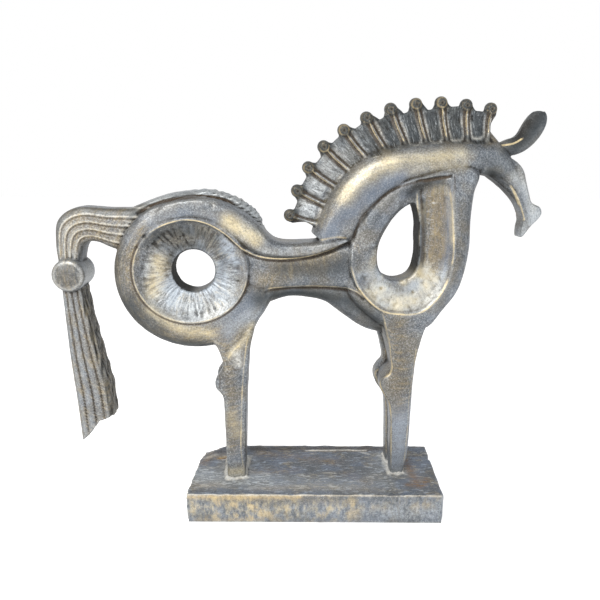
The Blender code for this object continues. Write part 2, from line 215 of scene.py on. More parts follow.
def ovalReach(centre, radii):
    # How far an oval lies from a point inside it, at any angle.
    def reach(start, angle):
        x, y = (start[0] - centre[0]) / radii[0], (start[1] - centre[1]) / radii[1]
        dx, dy = math.cos(angle) / radii[0], math.sin(angle) / radii[1]
        a, b, c = dx * dx + dy * dy, x * dx + y * dy, x * x + y * y - 1.0
        return (-b + math.sqrt(b * b - a * c)) / a
    return reach


def drawnReach(points):
    # The same for a smooth closed outline.
    line = [Vector(point) for point in smoothLine(points, 10, closed=True)]

    def reach(start, angle):
        run = Vector((math.cos(angle), math.sin(angle)))
        side = Vector((-run.y, run.x))
        best = 0.0
        for index, end in enumerate(line):
            first, last = line[index - 1] - Vector(start), end - Vector(start)
            low, high = first.dot(side), last.dot(side)
            if (low <= 0 < high) or (high <= 0 < low):
                best = max(best, first.lerp(last, low / (low - high)).dot(run))
        return best
    return reach


def toward(angle, side):
    # 1 at a side's heading, falling to 0 away from it.
    return max(0.0, math.cos(angle - math.radians(side[0]))) ** side[1]


# Everything that shapes the horse, in millimetres: u to the head, w up from the plinth's top.
horse = {
    "turn": 4.0,  # degrees on the plinth
    "setBack": 6.5,
    "lift": 0.3,
    "castCell": 1.08,
    "triangles": 197000,
    "body": 24.0,
    "lip": 24.5,
    "bowl": 22.7,
    "hole": 15.0,
    "holeCorner": 1.6,
    "wallSteps": [0.88, 0.35],
    "lipWidth": 2.6,
    "outerRing": 6.0,
    "outerFall": 1.3,
    "roundedBase": 14.5,
    "roundedRise": 7.0,
    "ringTurns": 224,
    "flank": [(0.08, 1.0), (0.35, 0.99), (0.62, 0.95), (0.82, 0.85), (0.95, 0.66), (1.0, 0.35)],
    "rumpCentre": (-116.0, 207.2),
    "rumpRadii": (76.9, 73.6),
    "rimCentre": (-120.0, 210.0),
    "rimRadii": (53.0, 49.0),
    "rumpHole": (-118.0, 209.5),
    "rumpHoleRadius": 20.0,
    "rumpWaistSide": (0, 4, 2.5, 6.0),  # heading, sharpness, drop of the lip and of the flank
    "chestWaistSide": (205, 3, 1.5, 5.0),
    "chestNeckSide": (128, 1.2, 9.5, 12.0),
    "chestRounded": (140, 0.55),  # heading and reach of the side that has no rim
    "chestCentre": (78.0, 236.0),
    "chestHole": [
        (98, 220), (98, 243), (97, 260), (92, 273), (80, 267), (69, 254), (60, 236),
        (58, 220), (62.5, 206), (76, 199), (92, 204),
    ],
    "chestRim": [
        (131, 233), (128, 267), (125, 300), (97, 299), (79, 293), (60, 279), (44, 261),
        (33, 239), (31, 216), (40, 192), (60, 172), (81, 167), (101, 169), (117, 183), (128, 203),
    ],
    "chestEdge": [
        (148, 226), (148.5, 259), (150.5, 283), (154, 306), (120, 318), (84, 310), (54, 294), (34, 272),
        (22, 243), (22, 212), (32, 182), (54, 160), (78, 148), (108, 150), (124, 168), (140, 191),
    ],
    "neck": [
        (7, 235, 16, 21), (19.5, 251, 22, 23), (35.5, 276.5, 24.5, 24), (56, 297.5, 23.8, 24.5),
        (80, 308.5, 20.7, 24.5), (110, 314.5, 18, 23.5), (145, 317, 16, 21.5), (168, 316, 15.5, 17),
        (184, 306, 10, 12),
    ],
    "band": [
        (-158, 252, 8, 22), (-140, 264, 10, 25), (-117, 269, 11, 26.5), (-92, 264, 12.5, 26.5),
        (-70, 250, 14, 26.5), (-53, 235, 11, 26), (-36, 229.5, 8, 25), (-11, 229.5, 7.5, 24.5),
        (9, 233.5, 5, 24.5), (28, 239, 1.5, 23.5),
    ],
    "faceDepth": 12.0,  # where the dished faces begin, how far the holes' walls and the crest reach out
    "wallDepth": 14.2,
    "crestHalf": 15.5,
    "crest": [
        (-174, 261.5, 7, 13), (-152, 270.5, 7, 13), (-133, 276, 7, 13), (-115, 278.5, 6.5, 13),
        (-99, 278, 7, 13), (-80, 272, 7, 13), (-64, 261.5, 7, 12), (-56.5, 253, 5, 10),
    ],
    "waist": [
        (-82, 212, 24, 18), (-52, 210, 22, 20), (-27, 210, 20, 20), (2, 210, 19, 20), (40, 214, 26, 19),
    ],
    "belly": [
        (-68, 182, 12, 20), (-52, 187, 12, 18), (-30, 193.5, 12, 16), (-8, 194, 13.5, 15),
        (14, 188.5, 13.5, 15), (34, 176, 15, 15), (56, 165, 18, 16), (82, 160, 18, 18),
    ],
    "thigh": [
        (196, -66, -34, 17.0), (182, -75, -43, 20.0), (168, -88, -52, 22.5), (158, -108, -58, 24.0),
        (146, -108, -63, 24.2), (132, -96, -66, 24.2),
    ],
    "hindLeg": [  # levels of w, rear u and front u, the hock standing out behind
        (152, -110, -61), (138, -99, -64.5), (125, -93.5, -66.5), (116, -92.3, -67), (108, -95.8, -67.5),
        (101.5, -99.8, -68), (94, -99.5, -68.3), (88, -94.5, -68.8), (81, -92.2, -69.3), (60, -91.5, -70),
        (42, -91, -70.5), (-6, -90, -72),
    ],
    "frontLegNear": [
        (162, 62, 112), (150, 67, 106), (136, 70.5, 102), (124, 72, 99), (114, 73.3, 97.5), (107, 71.5, 97),
        (101.5, 65, 96.5), (96, 62, 96), (89, 64, 95.7), (82, 68, 95.5), (75, 71.8, 95.2), (58, 74, 94.5),
        (38, 74.5, 94), (16, 75, 92), (-6, 75.5, 87),
    ],
    "frontLegFar": [
        (162, 57, 112), (150, 61, 106), (134, 66, 101), (119, 69.5, 98), (112, 69.5, 97.5), (106, 64.5, 97),
        (100, 61.5, 96.5), (93, 61.5, 96), (86, 64, 95.7), (80, 68, 95.5), (74, 72, 95.2), (58, 74, 94.5),
        (38, 74.5, 94), (16, 75, 92), (-6, 75.5, 87),
    ],
    "slabCentre": 14.5,
    "slabHalf": 9.5,
    "coreHalf": 22.0,
    "groove": 3.4,
    "maneRidges": 11,
    "maneRoot": [(-3, 254), (17, 291), (39, 315), (74, 329), (120, 335), (162, 339)],
    "maneTip": [(-26, 261), (-13, 298), (14, 333), (59, 357.5), (111, 367), (166, 362)],
    "webDips": [3.0, 2.2, 3.6, 2.2, 3.6, 5.5, 6.0, 5.8, 2.4, 3.8],
    "webTurn": (-70, 15),  # from the dark webs on top to the pale ones behind, in -u
    "maneTuck": 8.0,
    "ridge": [(5.0, 14.0), (3.2, 12.3), (1.5, 9.8), (2.6, 8.2), (5.2, 7.0)],
    "flare": [(0.30, 1.5, 6.5), (0.60, 4.2, 5.6), (0.78, 9.4, 5.0), (0.88, 8.2, 4.8), (0.96, 6.7, 4.6)],
    "knob": 6.2,
    "knobHalf": 7.5,
    "web": [12, 11.0, 8.3, 5.4],
    "maneEnd": [(159, 341, 6, 8), (164, 332, 8, 9), (174, 321, 8, 9)],
    "head": [
        (168, 316), (187, 316), (199, 306), (203, 294.5), (206.5, 283.5), (210, 274), (218.5, 269.5),
        (220, 261.5), (210, 250), (201.5, 239.5), (200, 248), (201.5, 260.5), (195.8, 272), (186.5, 283),
        (176, 292), (164, 302),
    ],
    "headHalf": 10.0,
    "headEdge": 2.4,
    "brow": [
        (160, 314, 14, 18), (176, 309, 12.5, 16), (188, 299, 9, 12.5), (195, 287, 6, 11), (200, 274, 4, 10),
    ],
    "ear": [
        (168, 319, 7, 9), (183, 325.5, 8, 8), (192, 328.5, 9, 7.7), (199.5, 333.8, 10.2, 7.4),
        (206.5, 343.5, 11.6, 6.6), (211.6, 352.4, 10.8, 5.6), (214.2, 358.6, 8.2, 4.2),
        (215.4, 361.9, 4.2, 2.4),
    ],
    "tailOuter": [
        (-158, 268.5), (-195, 268.5), (-223, 269.5), (-241.5, 258.5), (-245.5, 238), (-243.5, 205),
        (-242, 170), (-240, 125), (-236.5, 80), (-234, 37),
    ],
    "tailInner": [
        (-164, 226), (-190, 229.5), (-205, 236), (-215.5, 236.5), (-221.3, 228), (-224, 205), (-220, 172),
        (-212, 130), (-204, 96), (-201.3, 64.5),
    ],
    "tailEnds": [  # how far each share of its width stops short
        (0, 0.4), (0.22, 1.0), (0.4, 3.6), (0.5, 5.8), (0.6, 6.4), (0.8, 2.8), (1, 0),
    ],
    "tailHalf": 15.0,
    "strands": 5,
    "strandsBelow": 4,
    "knot": (-233.8, 206.0),
    "knotRadius": 15.6,
    "knotHalf": 22.0,
    "chestBowl": [(80, 228), (49, 62)],  # centre and radii
    "insideMane": [(80, 250), (93, 78)],
    "spokeCentre": (84, 232),
    "eatenCorner": [(-156, 234), (-148, 240), (-136, 241), (-122, 240)],
    "eatenSide": [(-134, 230), (-142, 220), (-143, 206)],
    "earScoop": [(193, 340), (203, 352), (211, 361)],
    "thighPatch": [(-79, 130), (-76.5, 119)],
    "knotEdge": [(0, 0.62), (0.9, 0.84), (2.4, 0.95), (5, 1.0)],  # inset from its face, share of its radius
}


def addRing(centre, hole, rim, edge, halvesAt):
    # A torus whose section is moved onto the ring's own: silhouette, flank, lip, dish and hole.
    profile = []
    for turn in range(horse["ringTurns"]):
        angle = 2 * math.pi * turn / horse["ringTurns"]
        holeReach, rimReach, edgeReach = hole(centre, angle), rim(centre, angle), edge(centre, angle)
        lipHalf, flankHalf, rounded = halvesAt(angle)
        inner = holeReach + horse["holeCorner"]
        outer = rimReach - horse["lipWidth"]
        section = []
        for part, share in reversed(horse["flank"]):
            section.append((rimReach + (edgeReach - rimReach) * part, flankHalf * share))
        section.append((rimReach + 0.2, lipHalf))
        section.append((rimReach - 0.7, lipHalf - 0.3))
        section.append((rimReach - 1.5, (lipHalf + horse["bowl"]) / 2))
        for step in range(10, 0, -1):
            reach = inner + (outer - inner) * step / 10
            fall = min(1.0, (outer - reach) / horse["outerRing"]) * horse["outerFall"]
            dished = horse["hole"] + (horse["bowl"] - horse["hole"] - fall) * (step / 10) ** 0.9
            swell = math.sin(math.pi * (0.12 + 0.62 * step / 10))
            tube = horse["roundedBase"] + horse["roundedRise"] * swell
            section.append((reach, dished + (tube - dished) * rounded))
        section.append((inner, horse["hole"]))
        section += [(holeReach, horse["hole"] * share) for share in horse["wallSteps"]]
        profile.append((angle, section + [(reach, -half) for reach, half in reversed(section)]))
    minor = len(profile[0][1])
    bpy.ops.mesh.primitive_torus_add(
        major_segments=horse["ringTurns"], minor_segments=minor, major_radius=1, minor_radius=0.25
    )
    ring = bpy.context.object
    for index, vert in enumerate(ring.data.vertices):
        angle, section = profile[index // minor]
        reach, half = section[index % minor]
        u, w = centre[0] + math.cos(angle) * reach, centre[1] + math.sin(angle) * reach
        vert.co = Vector((u, -half, w)) * mm


def addRump():
    side = horse["rumpWaistSide"]

    def halves(angle):
        low = toward(angle, side)
        return horse["lip"] - side[2] * low, horse["body"] - side[3] * low, 0.0

    hole = ovalReach(horse["rumpHole"], (horse["rumpHoleRadius"], horse["rumpHoleRadius"]))
    rim = ovalReach(horse["rimCentre"], horse["rimRadii"])
    addRing(horse["rumpHole"], hole, rim, ovalReach(horse["rumpCentre"], horse["rumpRadii"]), halves)
    addBar(horse["crest"], 3.0)


def addChest():
    waistSide, neckSide = horse["chestWaistSide"], horse["chestNeckSide"]

    def halves(angle):
        underNeck, low = toward(angle, neckSide), toward(angle, waistSide)
        lip = horse["lip"] - neckSide[2] * underNeck - waistSide[2] * low
        flank = horse["body"] - neckSide[3] * underNeck - waistSide[3] * low
        heading, reach = horse["chestRounded"]
        rounded = min(1.0, max(0.0, (math.cos(angle - math.radians(heading)) - reach) / (1 - reach) * 3.0))
        return lip, flank, rounded

    outlines = [drawnReach(horse[name]) for name in ("chestHole", "chestRim", "chestEdge")]
    addRing(horse["chestCentre"], *outlines, halves)


def addTrunk():
    addBar(horse["waist"], 4.0, 32, 6)
    addBar(horse["belly"], 2.0, 28, 6)
    addBar(horse["band"], 3.6, 40, 8)
    addBar(horse["neck"], 2.3, 56, 8)


def addLegs():
    addUpright(horse["thigh"], 4.5)
    for near, far in ((horse["hindLeg"], horse["hindLeg"]), (horse["frontLegNear"], horse["frontLegFar"])):
        addUpright(far, 5.0, horse["coreHalf"], inset=horse["groove"])
        addUpright(near, 6.0, horse["slabHalf"], -horse["slabCentre"])
        addUpright(far, 6.0, horse["slabHalf"], horse["slabCentre"])


def maneLines():
    return spread(horse["maneRoot"], horse["maneRidges"]), spread(horse["maneTip"], horse["maneRidges"])


def fanPlaces(root, tip, shares):
    # Inside the neck, and then at each share of the way from root to tip.
    run = (tip - root).normalized()
    return [root - run * horse["maneTuck"]] + [root.lerp(tip, share) for share in shares]


def addMane():
    roots, tips = maneLines()
    for index, (root, tip) in enumerate(zip(roots, tips)):
        places = fanPlaces(root, tip, (0, 0.42, 0.78, 1))
        addBar([(*place, *halves) for place, halves in zip(places, horse["ridge"])], sides=20)
        widest = horse["knob"] if index in (0, len(roots) - 1) else 99.0
        flare = [(share, min(half, widest), depth) for share, half, depth in horse["flare"]]
        addBar([(*root.lerp(tip, share), half, depth) for share, half, depth in flare], 2.6, 20)
        addLump(tip.x, tip.y, horse["knob"], horse["knobHalf"])
    for index, dip in enumerate(horse["webDips"]):
        root = roots[index].lerp(roots[index + 1], 0.5)
        tip = tips[index].lerp(tips[index + 1], 0.5)
        run = (tip - root).normalized()
        halfRoot = (roots[index + 1] - roots[index]).length / 2
        halfTip = (tips[index + 1] - tips[index]).length / 2
        widths = [halfRoot, halfRoot, (halfRoot + halfTip) / 2, halfTip]
        places = fanPlaces(root, tip - run * dip, (0, 0.5, 1))
        addBar([(*place, *halves) for place, *halves in zip(places, widths, horse["web"])], 3.0, 24)
    addBar(horse["maneEnd"], 2.4, 20)


def tailRings(steps):
    # Outer edge and inner edge along the tail.
    outer = smoothLine(horse["tailOuter"], steps)
    inner = smoothLine(horse["tailInner"], steps)
    return list(zip(outer, inner))


def addTail():
    rings = []
    for outer, inner in tailRings(6):
        place = ((outer[0] + inner[0]) / 2, (outer[1] + inner[1]) / 2)
        across = ((inner[0] - outer[0]) / 2, (inner[1] - outer[1]) / 2)
        rings.append(sectionRing(place, across, 1.0, horse["tailHalf"], 5.0, 48))
    addShell(rings)
    half, radius = horse["knotHalf"], horse["knotRadius"]
    knot = [oval(horse["knot"], (radius * share, radius * share), 40) for inset, share in horse["knotEdge"]]
    depths = [inset - half for inset, share in horse["knotEdge"]]
    knot += list(reversed(knot))
    depths += [-depth for depth in reversed(depths)]
    addShell([[(u, depth, w) for u, w in ring] for ring, depth in zip(knot, depths)])


def addHead():
    addPlate(horse["head"], horse["headHalf"], horse["headEdge"])
    addBar(horse["brow"], 2.6, 32, 6)
    addBar(horse["ear"], 2.2, 32, 6)


def applyModifier(piece, kind, **settings):
    modifier = piece.modifiers.new(kind.lower(), kind)
    for name, value in settings.items():
        setattr(modifier, name, value)
    bpy.context.view_layer.objects.active = piece
    bpy.ops.object.modifier_apply(modifier=modifier.name)


def joinShells(name, shells):
    bpy.ops.object.select_all(action="DESELECT")
    for shell in shells:
        shell.select_set(True)
    bpy.context.view_layer.objects.active = shells[0]
    bpy.ops.object.join()
    bpy.ops.object.transform_apply(location=True, rotation=True, scale=True)
    bpy.ops.object.mode_set(mode="EDIT")
    bpy.ops.mesh.select_all(action="SELECT")
    bpy.ops.mesh.normals_make_consistent(inside=False)
    bpy.ops.object.mode_set(mode="OBJECT")
    joined = bpy.context.object
    joined.name = name
    joined.data.name = name
    return joined


# Fine shaping: whole meshes are read, moved and written as arrays, in millimetres.
def readVectors(piece, name):
    vectors = np.empty(len(piece.data.vertices) * 3)
    piece.data.vertices.foreach_get(name, vectors)
    return vectors.reshape(-1, 3)


def readPlaces(piece):
    return readVectors(piece, "co") / mm


def readNormals(piece):
    return readVectors(piece, "normal")


def writePlaces(piece, places):
    piece.data.vertices.foreach_set("co", (places * mm).ravel())
    piece.data.update()


def lineField(across, up, points, closed=False):
    # How far each vertex is from a line drawn in the plane, how far along it, 0 to 1, and on which side.
    line = np.array(smoothLine(points, 6, closed) if len(points) > 2 else points, float)
    if closed:
        line = np.vstack([line, line[:1]])
    runs = np.diff(line, axis=0)
    lengths = np.hypot(runs[:, 0], runs[:, 1])
    total = lengths.sum()
    best = np.full(len(across), 1e9)
    along = np.zeros(len(across))
    side = np.zeros(len(across))
    before = 0.0
    for start, run, length in zip(line, runs, lengths):
        part = ((across - start[0]) * run[0] + (up - start[1]) * run[1]) / max(length, 1e-9) ** 2
        part = np.clip(part, 0.0, 1.0)
        gap = np.hypot(across - start[0] - run[0] * part, up - start[1] - run[1] * part)
        nearer = gap < best
        best = np.where(nearer, gap, best)
        along = np.where(nearer, (before + part * length) / total, along)
        side = np.where(nearer, np.sign((across - start[0]) * run[1] - (up - start[1]) * run[0]), side)
        before += length
    return best, along, side


def bell(distance, width):
    return np.exp(-(distance / width) ** 2)


def ease(value, low, high):
    part = np.clip((value - low) / (high - low), 0.0, 1.0)
    return part * part * (3 - 2 * part)


def waves(points, size, seed, count=14):
    # A smooth uneven field of about -1 to 1, its lumps roughly size apart on each axis.
    dice = np.random.default_rng(seed)
    total = np.zeros(len(points))
    for _ in range(count):
        heading = dice.normal(size=points.shape[1])
        heading /= np.linalg.norm(heading)
        pitch = dice.uniform(0.7, 1.5)
        phase = dice.uniform(0, 2 * math.pi)
        total += np.sin(points @ (heading * pitch * 2 * math.pi / np.array(size)) + phase)
    return total / math.sqrt(count / 2) / 1.6


# Lines cut into the skin or raised on it: points, width, height and whether the line is closed.
slipLine = [
    (-160, 244), (-147, 252), (-135, 256.5), (-122, 258.5), (-105, 255.5), (-88, 246), (-69, 229.5),
    (-50, 222.5), (-21, 222), (8, 228.5), (27, 238.5),
]
chestRimLine = [
    (32, 222), (34, 205), (40, 192), (60, 172), (81, 167), (101, 169), (117, 183), (128, 203), (131, 233),
    (128, 267), (125.5, 288),
]
creaseLine = [
    (34, 238), (37, 251), (44, 264), (60, 279), (71, 286.5), (84, 291.5), (98, 295), (124.5, 299.6),
]
slotLine = [(93, 294.3), (104, 295.8), (114, 297.4), (125, 299.6)]
troughLine = [(97, 217), (98, 239), (96, 263), (94, 284)]
bellyLine = [(-50, 191), (-42, 193), (-8, 194.5), (31, 191.5), (44, 184)]
crestLine = [
    (-168, 264), (-156, 270.5), (-143, 275), (-127, 278), (-113, 279.5), (-100, 279), (-88, 276.5),
    (-78, 272),
]
strokes = [
    (oval(horse["rimCentre"], horse["rimRadii"]), 0.6, 0.25, True),
    (oval(horse["rimCentre"], (54.6, 50.6))[27:72], 0.9, -0.4, False),
    (slipLine, 0.7, 0.45, False),
    ([(u + 0.6, w - 2.4) for u, w in slipLine[5:]], 1.3, -0.9, False),
    (chestRimLine, 0.7, 0.4, False),
    (creaseLine, 1.5, -0.7, False),
    (slotLine, 1.7, -1.3, False),
    (bellyLine, 0.9, 0.35, False),
    ([(u, w - 2.4) for u, w in bellyLine], 1.6, -0.8, False),
    ([(-87, 125), (-81, 134), (-73.5, 139), (-67, 148.5), (-62.5, 158)], 2.2, 0.7, False),
    ([(-90, 129), (-84, 138), (-76, 143.5), (-70, 152)], 1.8, -0.4, False),
    ([(187, 288), (194, 280), (199, 270), (203, 258)], 1.1, 0.9, False),
    ([(184, 286), (191, 278), (196, 268), (200, 256)], 1.6, -0.7, False),
    (troughLine, 1.0, 0.6, False),
    ([(102, 213), (103, 239), (101, 263), (98, 286)], 2.2, -0.7, False),
    (crestLine, 1.5, -1.6, False),
    ([(u + 2, w - 3.6) for u, w in crestLine], 1.2, 0.7, False),
    ([(-71.5, 122), (-73, 96), (-75, 60), (-76, 20)], 1.2, 0.4, False),
]
# Chips and, above 0, crumbs left standing: u, w, radius and height.
chips = [
    (-161, 243, 2.6, -1.5), (-169, 233, 2.2, -1.0), (107, 266, 1.8, 0.9), (105, 229, 2.0, 0.9),
    (107, 217, 1.8, 0.8), (110, 274, 1.6, 0.8), (106, 245, 1.4, 0.7), (-98, 271, 1.6, -0.7),
    (70, 181, 2.4, -0.6), (93, 188, 2.6, -0.6), (62, 192, 2.2, -0.7), (-30, 227, 1.4, -0.5),
]


def tailField(places):
    # How far along the tail and how far across it each vertex lies, and how far off it.
    u, w = places[:, 0], places[:, 2]
    rings = tailRings(14)
    best = np.full(len(places), 1e9)
    along = np.zeros(len(places))
    share = np.zeros(len(places))
    for index, (outer, inner) in enumerate(rings):
        run = (inner[0] - outer[0], inner[1] - outer[1])
        part = ((u - outer[0]) * run[0] + (w - outer[1]) * run[1]) / (run[0] ** 2 + run[1] ** 2)
        held = np.clip(part, 0, 1)
        gap = np.hypot(u - outer[0] - run[0] * held, w - outer[1] - run[1] * held)
        nearer = gap < best
        best = np.where(nearer, gap, best)
        along = np.where(nearer, index / (len(rings) - 1), along)
        share = np.where(nearer, part, share)
    return along, share, best


def ovalShare(across, up, centre, radii):
    return np.hypot((across - centre[0]) / radii[0], (up - centre[1]) / radii[1])


def regions(places):
    # Where the horse's own areas are, as soft masks of 0 to 1, and how far along and across them it is.
    u, depth, w = places.T
    area = {}
    reach = np.hypot(u - horse["rumpHole"][0], w - horse["rumpHole"][1])
    rim = ovalShare(u, w, horse["rimCentre"], horse["rimRadii"])
    onFace = np.abs(depth) > horse["faceDepth"]
    facing = onFace & (reach > 17)
    area["dish"] = ease(reach, 18, 22) * (1 - ease(rim, 0.84, 0.93)) * facing
    corner = bell(lineField(u, w, horse["eatenCorner"])[0], 8.5)
    beside = bell(lineField(u, w, horse["eatenSide"])[0], 5.5)
    area["rotten"] = np.maximum(corner, 0.8 * beside) * area["dish"]
    area["dish"] = area["dish"] * (1 - 0.85 * area["rotten"])
    # Hole walls, for painted shade, strongest on the rump hole's left and the chest hole's upper right.
    rumpWall = (reach < 21.0) * (0.2 + 0.8 * ease(horse["rumpHole"][0] - u, -4, 8))
    chestGap = lineField(u, w, horse["chestHole"], True)[0]
    chestWall = (chestGap < 2.5) * (0.25 + 0.75 * ease(u, 84, 92) * ease(w, 202, 210))
    area["holeWall"] = np.maximum(rumpWall, chestWall) * (np.abs(depth) < horse["wallDepth"])
    chest = ovalShare(u, w, *horse["chestBowl"])
    lower = ease(np.maximum(u - 92, 214 - w), 0, 12)
    panel = ease(u, 99, 104) * (1 - ease(u, 125, 130))
    area["trough"] = panel * ease(w, 206, 226) * (1 - ease(w, 286, 298))
    area["bowl"] = (1 - ease(chest, 0.9, 1.0)) * onFace * lower * (1 - area["trough"])
    around = np.arctan2(w - horse["rumpHole"][1], u - horse["rumpHole"][0])
    area["around"] = np.stack([np.cos(around), np.sin(around), reach / 60], axis=1)
    scribbles = waves(area["around"], (0.09, 0.09, 0.28), 8, 22) + 0.5 * waves(places, (6, 6, 6), 10)
    area["pits"] = ease(scribbles, 0.05, 0.6)
    along, share, off = tailField(places)
    outside = ovalShare(u, w, horse["rumpCentre"], horse["rumpRadii"]) > 0.985
    area["knotGap"] = np.hypot(u - horse["knot"][0], w - horse["knot"][1])
    area["tail"] = (off < 4) * outside * (u < -150) * ease(area["knotGap"], 15.5, 18)
    area["tailAlong"] = along
    area["tailShare"] = share
    area["hangs"] = ease(along, 0.55, 0.6)
    lines = share * np.where(area["hangs"] > 0.5, horse["strandsBelow"], horse["strands"])
    area["strandGap"] = lines - np.round(lines)
    area["strandLine"] = (np.round(lines) > 0.5) * (share < 0.9)
    area["knot"] = 1 - ease(area["knotGap"], 15.0, 17.0)
    roots, tips = maneLines()
    rootLine = [(point.x, point.y) for point in roots]
    tipLine = [(point.x, point.y) for point in tips]
    rootGap, rootAlong, rootSide = lineField(u, w, rootLine)
    tipGap, tipAlong = lineField(u, w, tipLine)[:2]
    climb = rootGap / (rootGap + tipGap + 1e-6)
    area["maneUp"] = np.where(rootSide > 0, -climb, climb)
    area["manePlace"] = (rootAlong * (1 - climb) + tipAlong * climb) * (len(roots) - 1)
    middle = ovalShare(u, w, *horse["insideMane"])
    area["mane"] = ((middle > 0.9) & (rootGap + tipGap < 44) & (w > 250) & (u < 172)) * 1.0
    nearest = np.abs(area["manePlace"] - np.round(area["manePlace"]))
    fromRib, fromRoot = (nearest - 0.13) * 24, area["maneUp"] * 30 + 5.0
    area["cup"] = -1.6 * np.log(np.exp(-fromRib / 1.6) + np.exp(-fromRoot / 1.6))
    area["web"] = area["mane"] * ease(nearest, 0.17, 0.27)
    knobGap = np.full(len(u), 1e9)
    for tip in tips:
        knobGap = np.minimum(knobGap, np.hypot(u - tip.x, w - tip.y))
    area["knobGap"] = knobGap
    crestGap, area["crestAlong"] = lineField(u, w, [station[:2] for station in horse["crest"]])[:2]
    area["crest"] = ease(crestGap, 9, 6) * (np.abs(depth) < horse["crestHalf"])
    area["back"] = ease(-u, *horse["webTurn"])
    area["fray"] = waves(np.stack([u, depth, w / 6], axis=1), (4.5, 4.5, 4.5), 27)
    return area


# Heights of the carving, in millimetres, below 0 where it is cut in.
carving = {
    "rays": 0.18,
    "dish": -0.20,
    "eatenLumps": 0.3,
    "eatenPits": -0.5,
    "bowl": 0.2,
    "spokes": 0.15,
    "trough": 0.14,
    "webScratch": 0.40,
    "webBehind": 0.7,
    "webOnTop": -0.55,
    "knobHeart": -1.9,
    "knobRing": 0.4,
    "knobNeck": -0.5,
    "tailRidge": 0.55,
    "tailShade": -0.45,
    "strandGroove": -0.75,
    "strandCrown": 0.25,
    "fray": 0.9,
    "earScoop": -2.6,
    "thighPits": -0.7,
    "hammered": 0.07,
    "grit": 0.03,
}


def carve(places, normals):
    # The moves along the normals that make the fine relief.
    u, depth, w = places.T
    flat = np.abs(normals[:, 1])
    side = ease(flat, 0.25, 0.6) * (np.abs(depth) > 6)
    area = regions(places)
    move = np.zeros(len(places))
    for points, width, height, closed in strokes:
        move += height * bell(lineField(u, w, points, closed)[0], width) * side
    for cu, cw, radius, height in chips:
        move += height * bell(np.hypot(u - cu, w - cw), radius) * side * (depth < 0)

    # Radial grooves of the rump's dish, running out before its smooth outer ring.
    around = area["around"]
    rays = waves(around, (0.15, 0.15, 1.1), 5) + 0.8 * waves(around, (0.085, 0.085, 0.9), 6)
    uneven = 0.8 + 0.5 * waves(places, (24, 24, 24), 7)
    move += area["dish"] * (carving["rays"] * rays * uneven + carving["dish"])

    # Pits in the dish's dark upper left, and the uneven chest bowl.
    lumps = carving["eatenLumps"] * waves(places, (4.5, 4.5, 4.5), 9)
    move += area["rotten"] * (lumps + carving["eatenPits"] * area["pits"])
    move += carving["bowl"] * area["bowl"] * side * waves(places, (9, 9, 9), 11)
    move += carving["trough"] * area["trough"] * side * waves(places / (1, 1, 5), (3.2, 9, 3.2), 13)
    du, dw = u - horse["spokeCentre"][0], w - horse["spokeCentre"][1]
    spokes = np.stack([np.arctan2(dw, du) * 9, np.hypot(du, dw) / 40], axis=1)
    move += carving["spokes"] * area["bowl"] * side * waves(spokes, (1.6, 2.0), 12)

    # Scratched webs, ringed knobs and the tufted crest.
    strand = np.stack([area["manePlace"], area["maneUp"] * 1.2, depth / 30], axis=1)
    move += area["web"] * side * carving["webScratch"] * waves(strand, (0.15, 0.75, 1.0), 21)
    back = area["back"]
    panel = area["mane"] * side * ease(area["cup"], 1.0, 3.0) * (1 - ease(area["maneUp"], 0.65, 0.9))
    move += panel * (carving["webBehind"] * back + carving["webOnTop"] * (1 - back))
    heart = carving["knobHeart"] * bell(area["knobGap"], 2.4)
    move += (heart + carving["knobRing"] * bell(area["knobGap"] - 4.2, 1.0)) * side
    move += carving["knobNeck"] * bell(area["knobGap"] - 7.2, 1.4) * side * area["mane"]
    along = area["crestAlong"]
    tuft = np.stack([along * 9 + w / 14, w / 3.4 - along * 6, depth / 9], axis=1)
    move += area["crest"] * (0.15 + 0.65 * ease(along, 0.4, 0.6)) * waves(tuft, (1.0, 1.0, 1.0), 23)

    # Thin ridges along the upper tail, grooves between the strands below, and a frayed inner side.
    gap, hangs = area["strandGap"], area["hangs"]
    upper = carving["tailRidge"] * bell(gap, 0.11) + carving["tailShade"] * bell(gap - 0.2, 0.13)
    below = carving["strandGroove"] * bell(gap, 0.12)
    below += carving["strandCrown"] * bell(np.abs(gap) - 0.5, 0.3)
    move += area["tail"] * side * area["strandLine"] * (upper * (1 - hangs) + below * hangs)
    frayed = area["tail"] * hangs * ease(normals[:, 0], 0.4, 0.8)
    move += frayed * carving["fray"] * area["fray"]

    # The ear is scooped from above, and the thigh has a pitted patch.
    scoop = bell(lineField(u, w, horse["earScoop"])[0], 6.5)
    move += carving["earScoop"] * scoop * bell(depth, 4.2) * (normals[:, 0] < 0.5)
    patch = bell(lineField(u, w, horse["thighPatch"])[0], 4.0) * side
    move += carving["thighPits"] * patch * ease(waves(places, (3.2, 3.2, 3.2), 31), 0.0, 0.7)

    # The tail's strands end at different lengths.
    ends = area["tail"] * ease(area["tailAlong"], 0.94, 1.0)
    places[:, 2] += ends * np.interp(area["tailShare"], *zip(*horse["tailEnds"]))

    # Hammered unevenness that a hand finish leaves everywhere.
    hammered = carving["hammered"] * waves(places, (16, 16, 16), 41)
    move += hammered + carving["grit"] * waves(places, (5, 5, 5), 42)
    return places + normals * move[:, None]


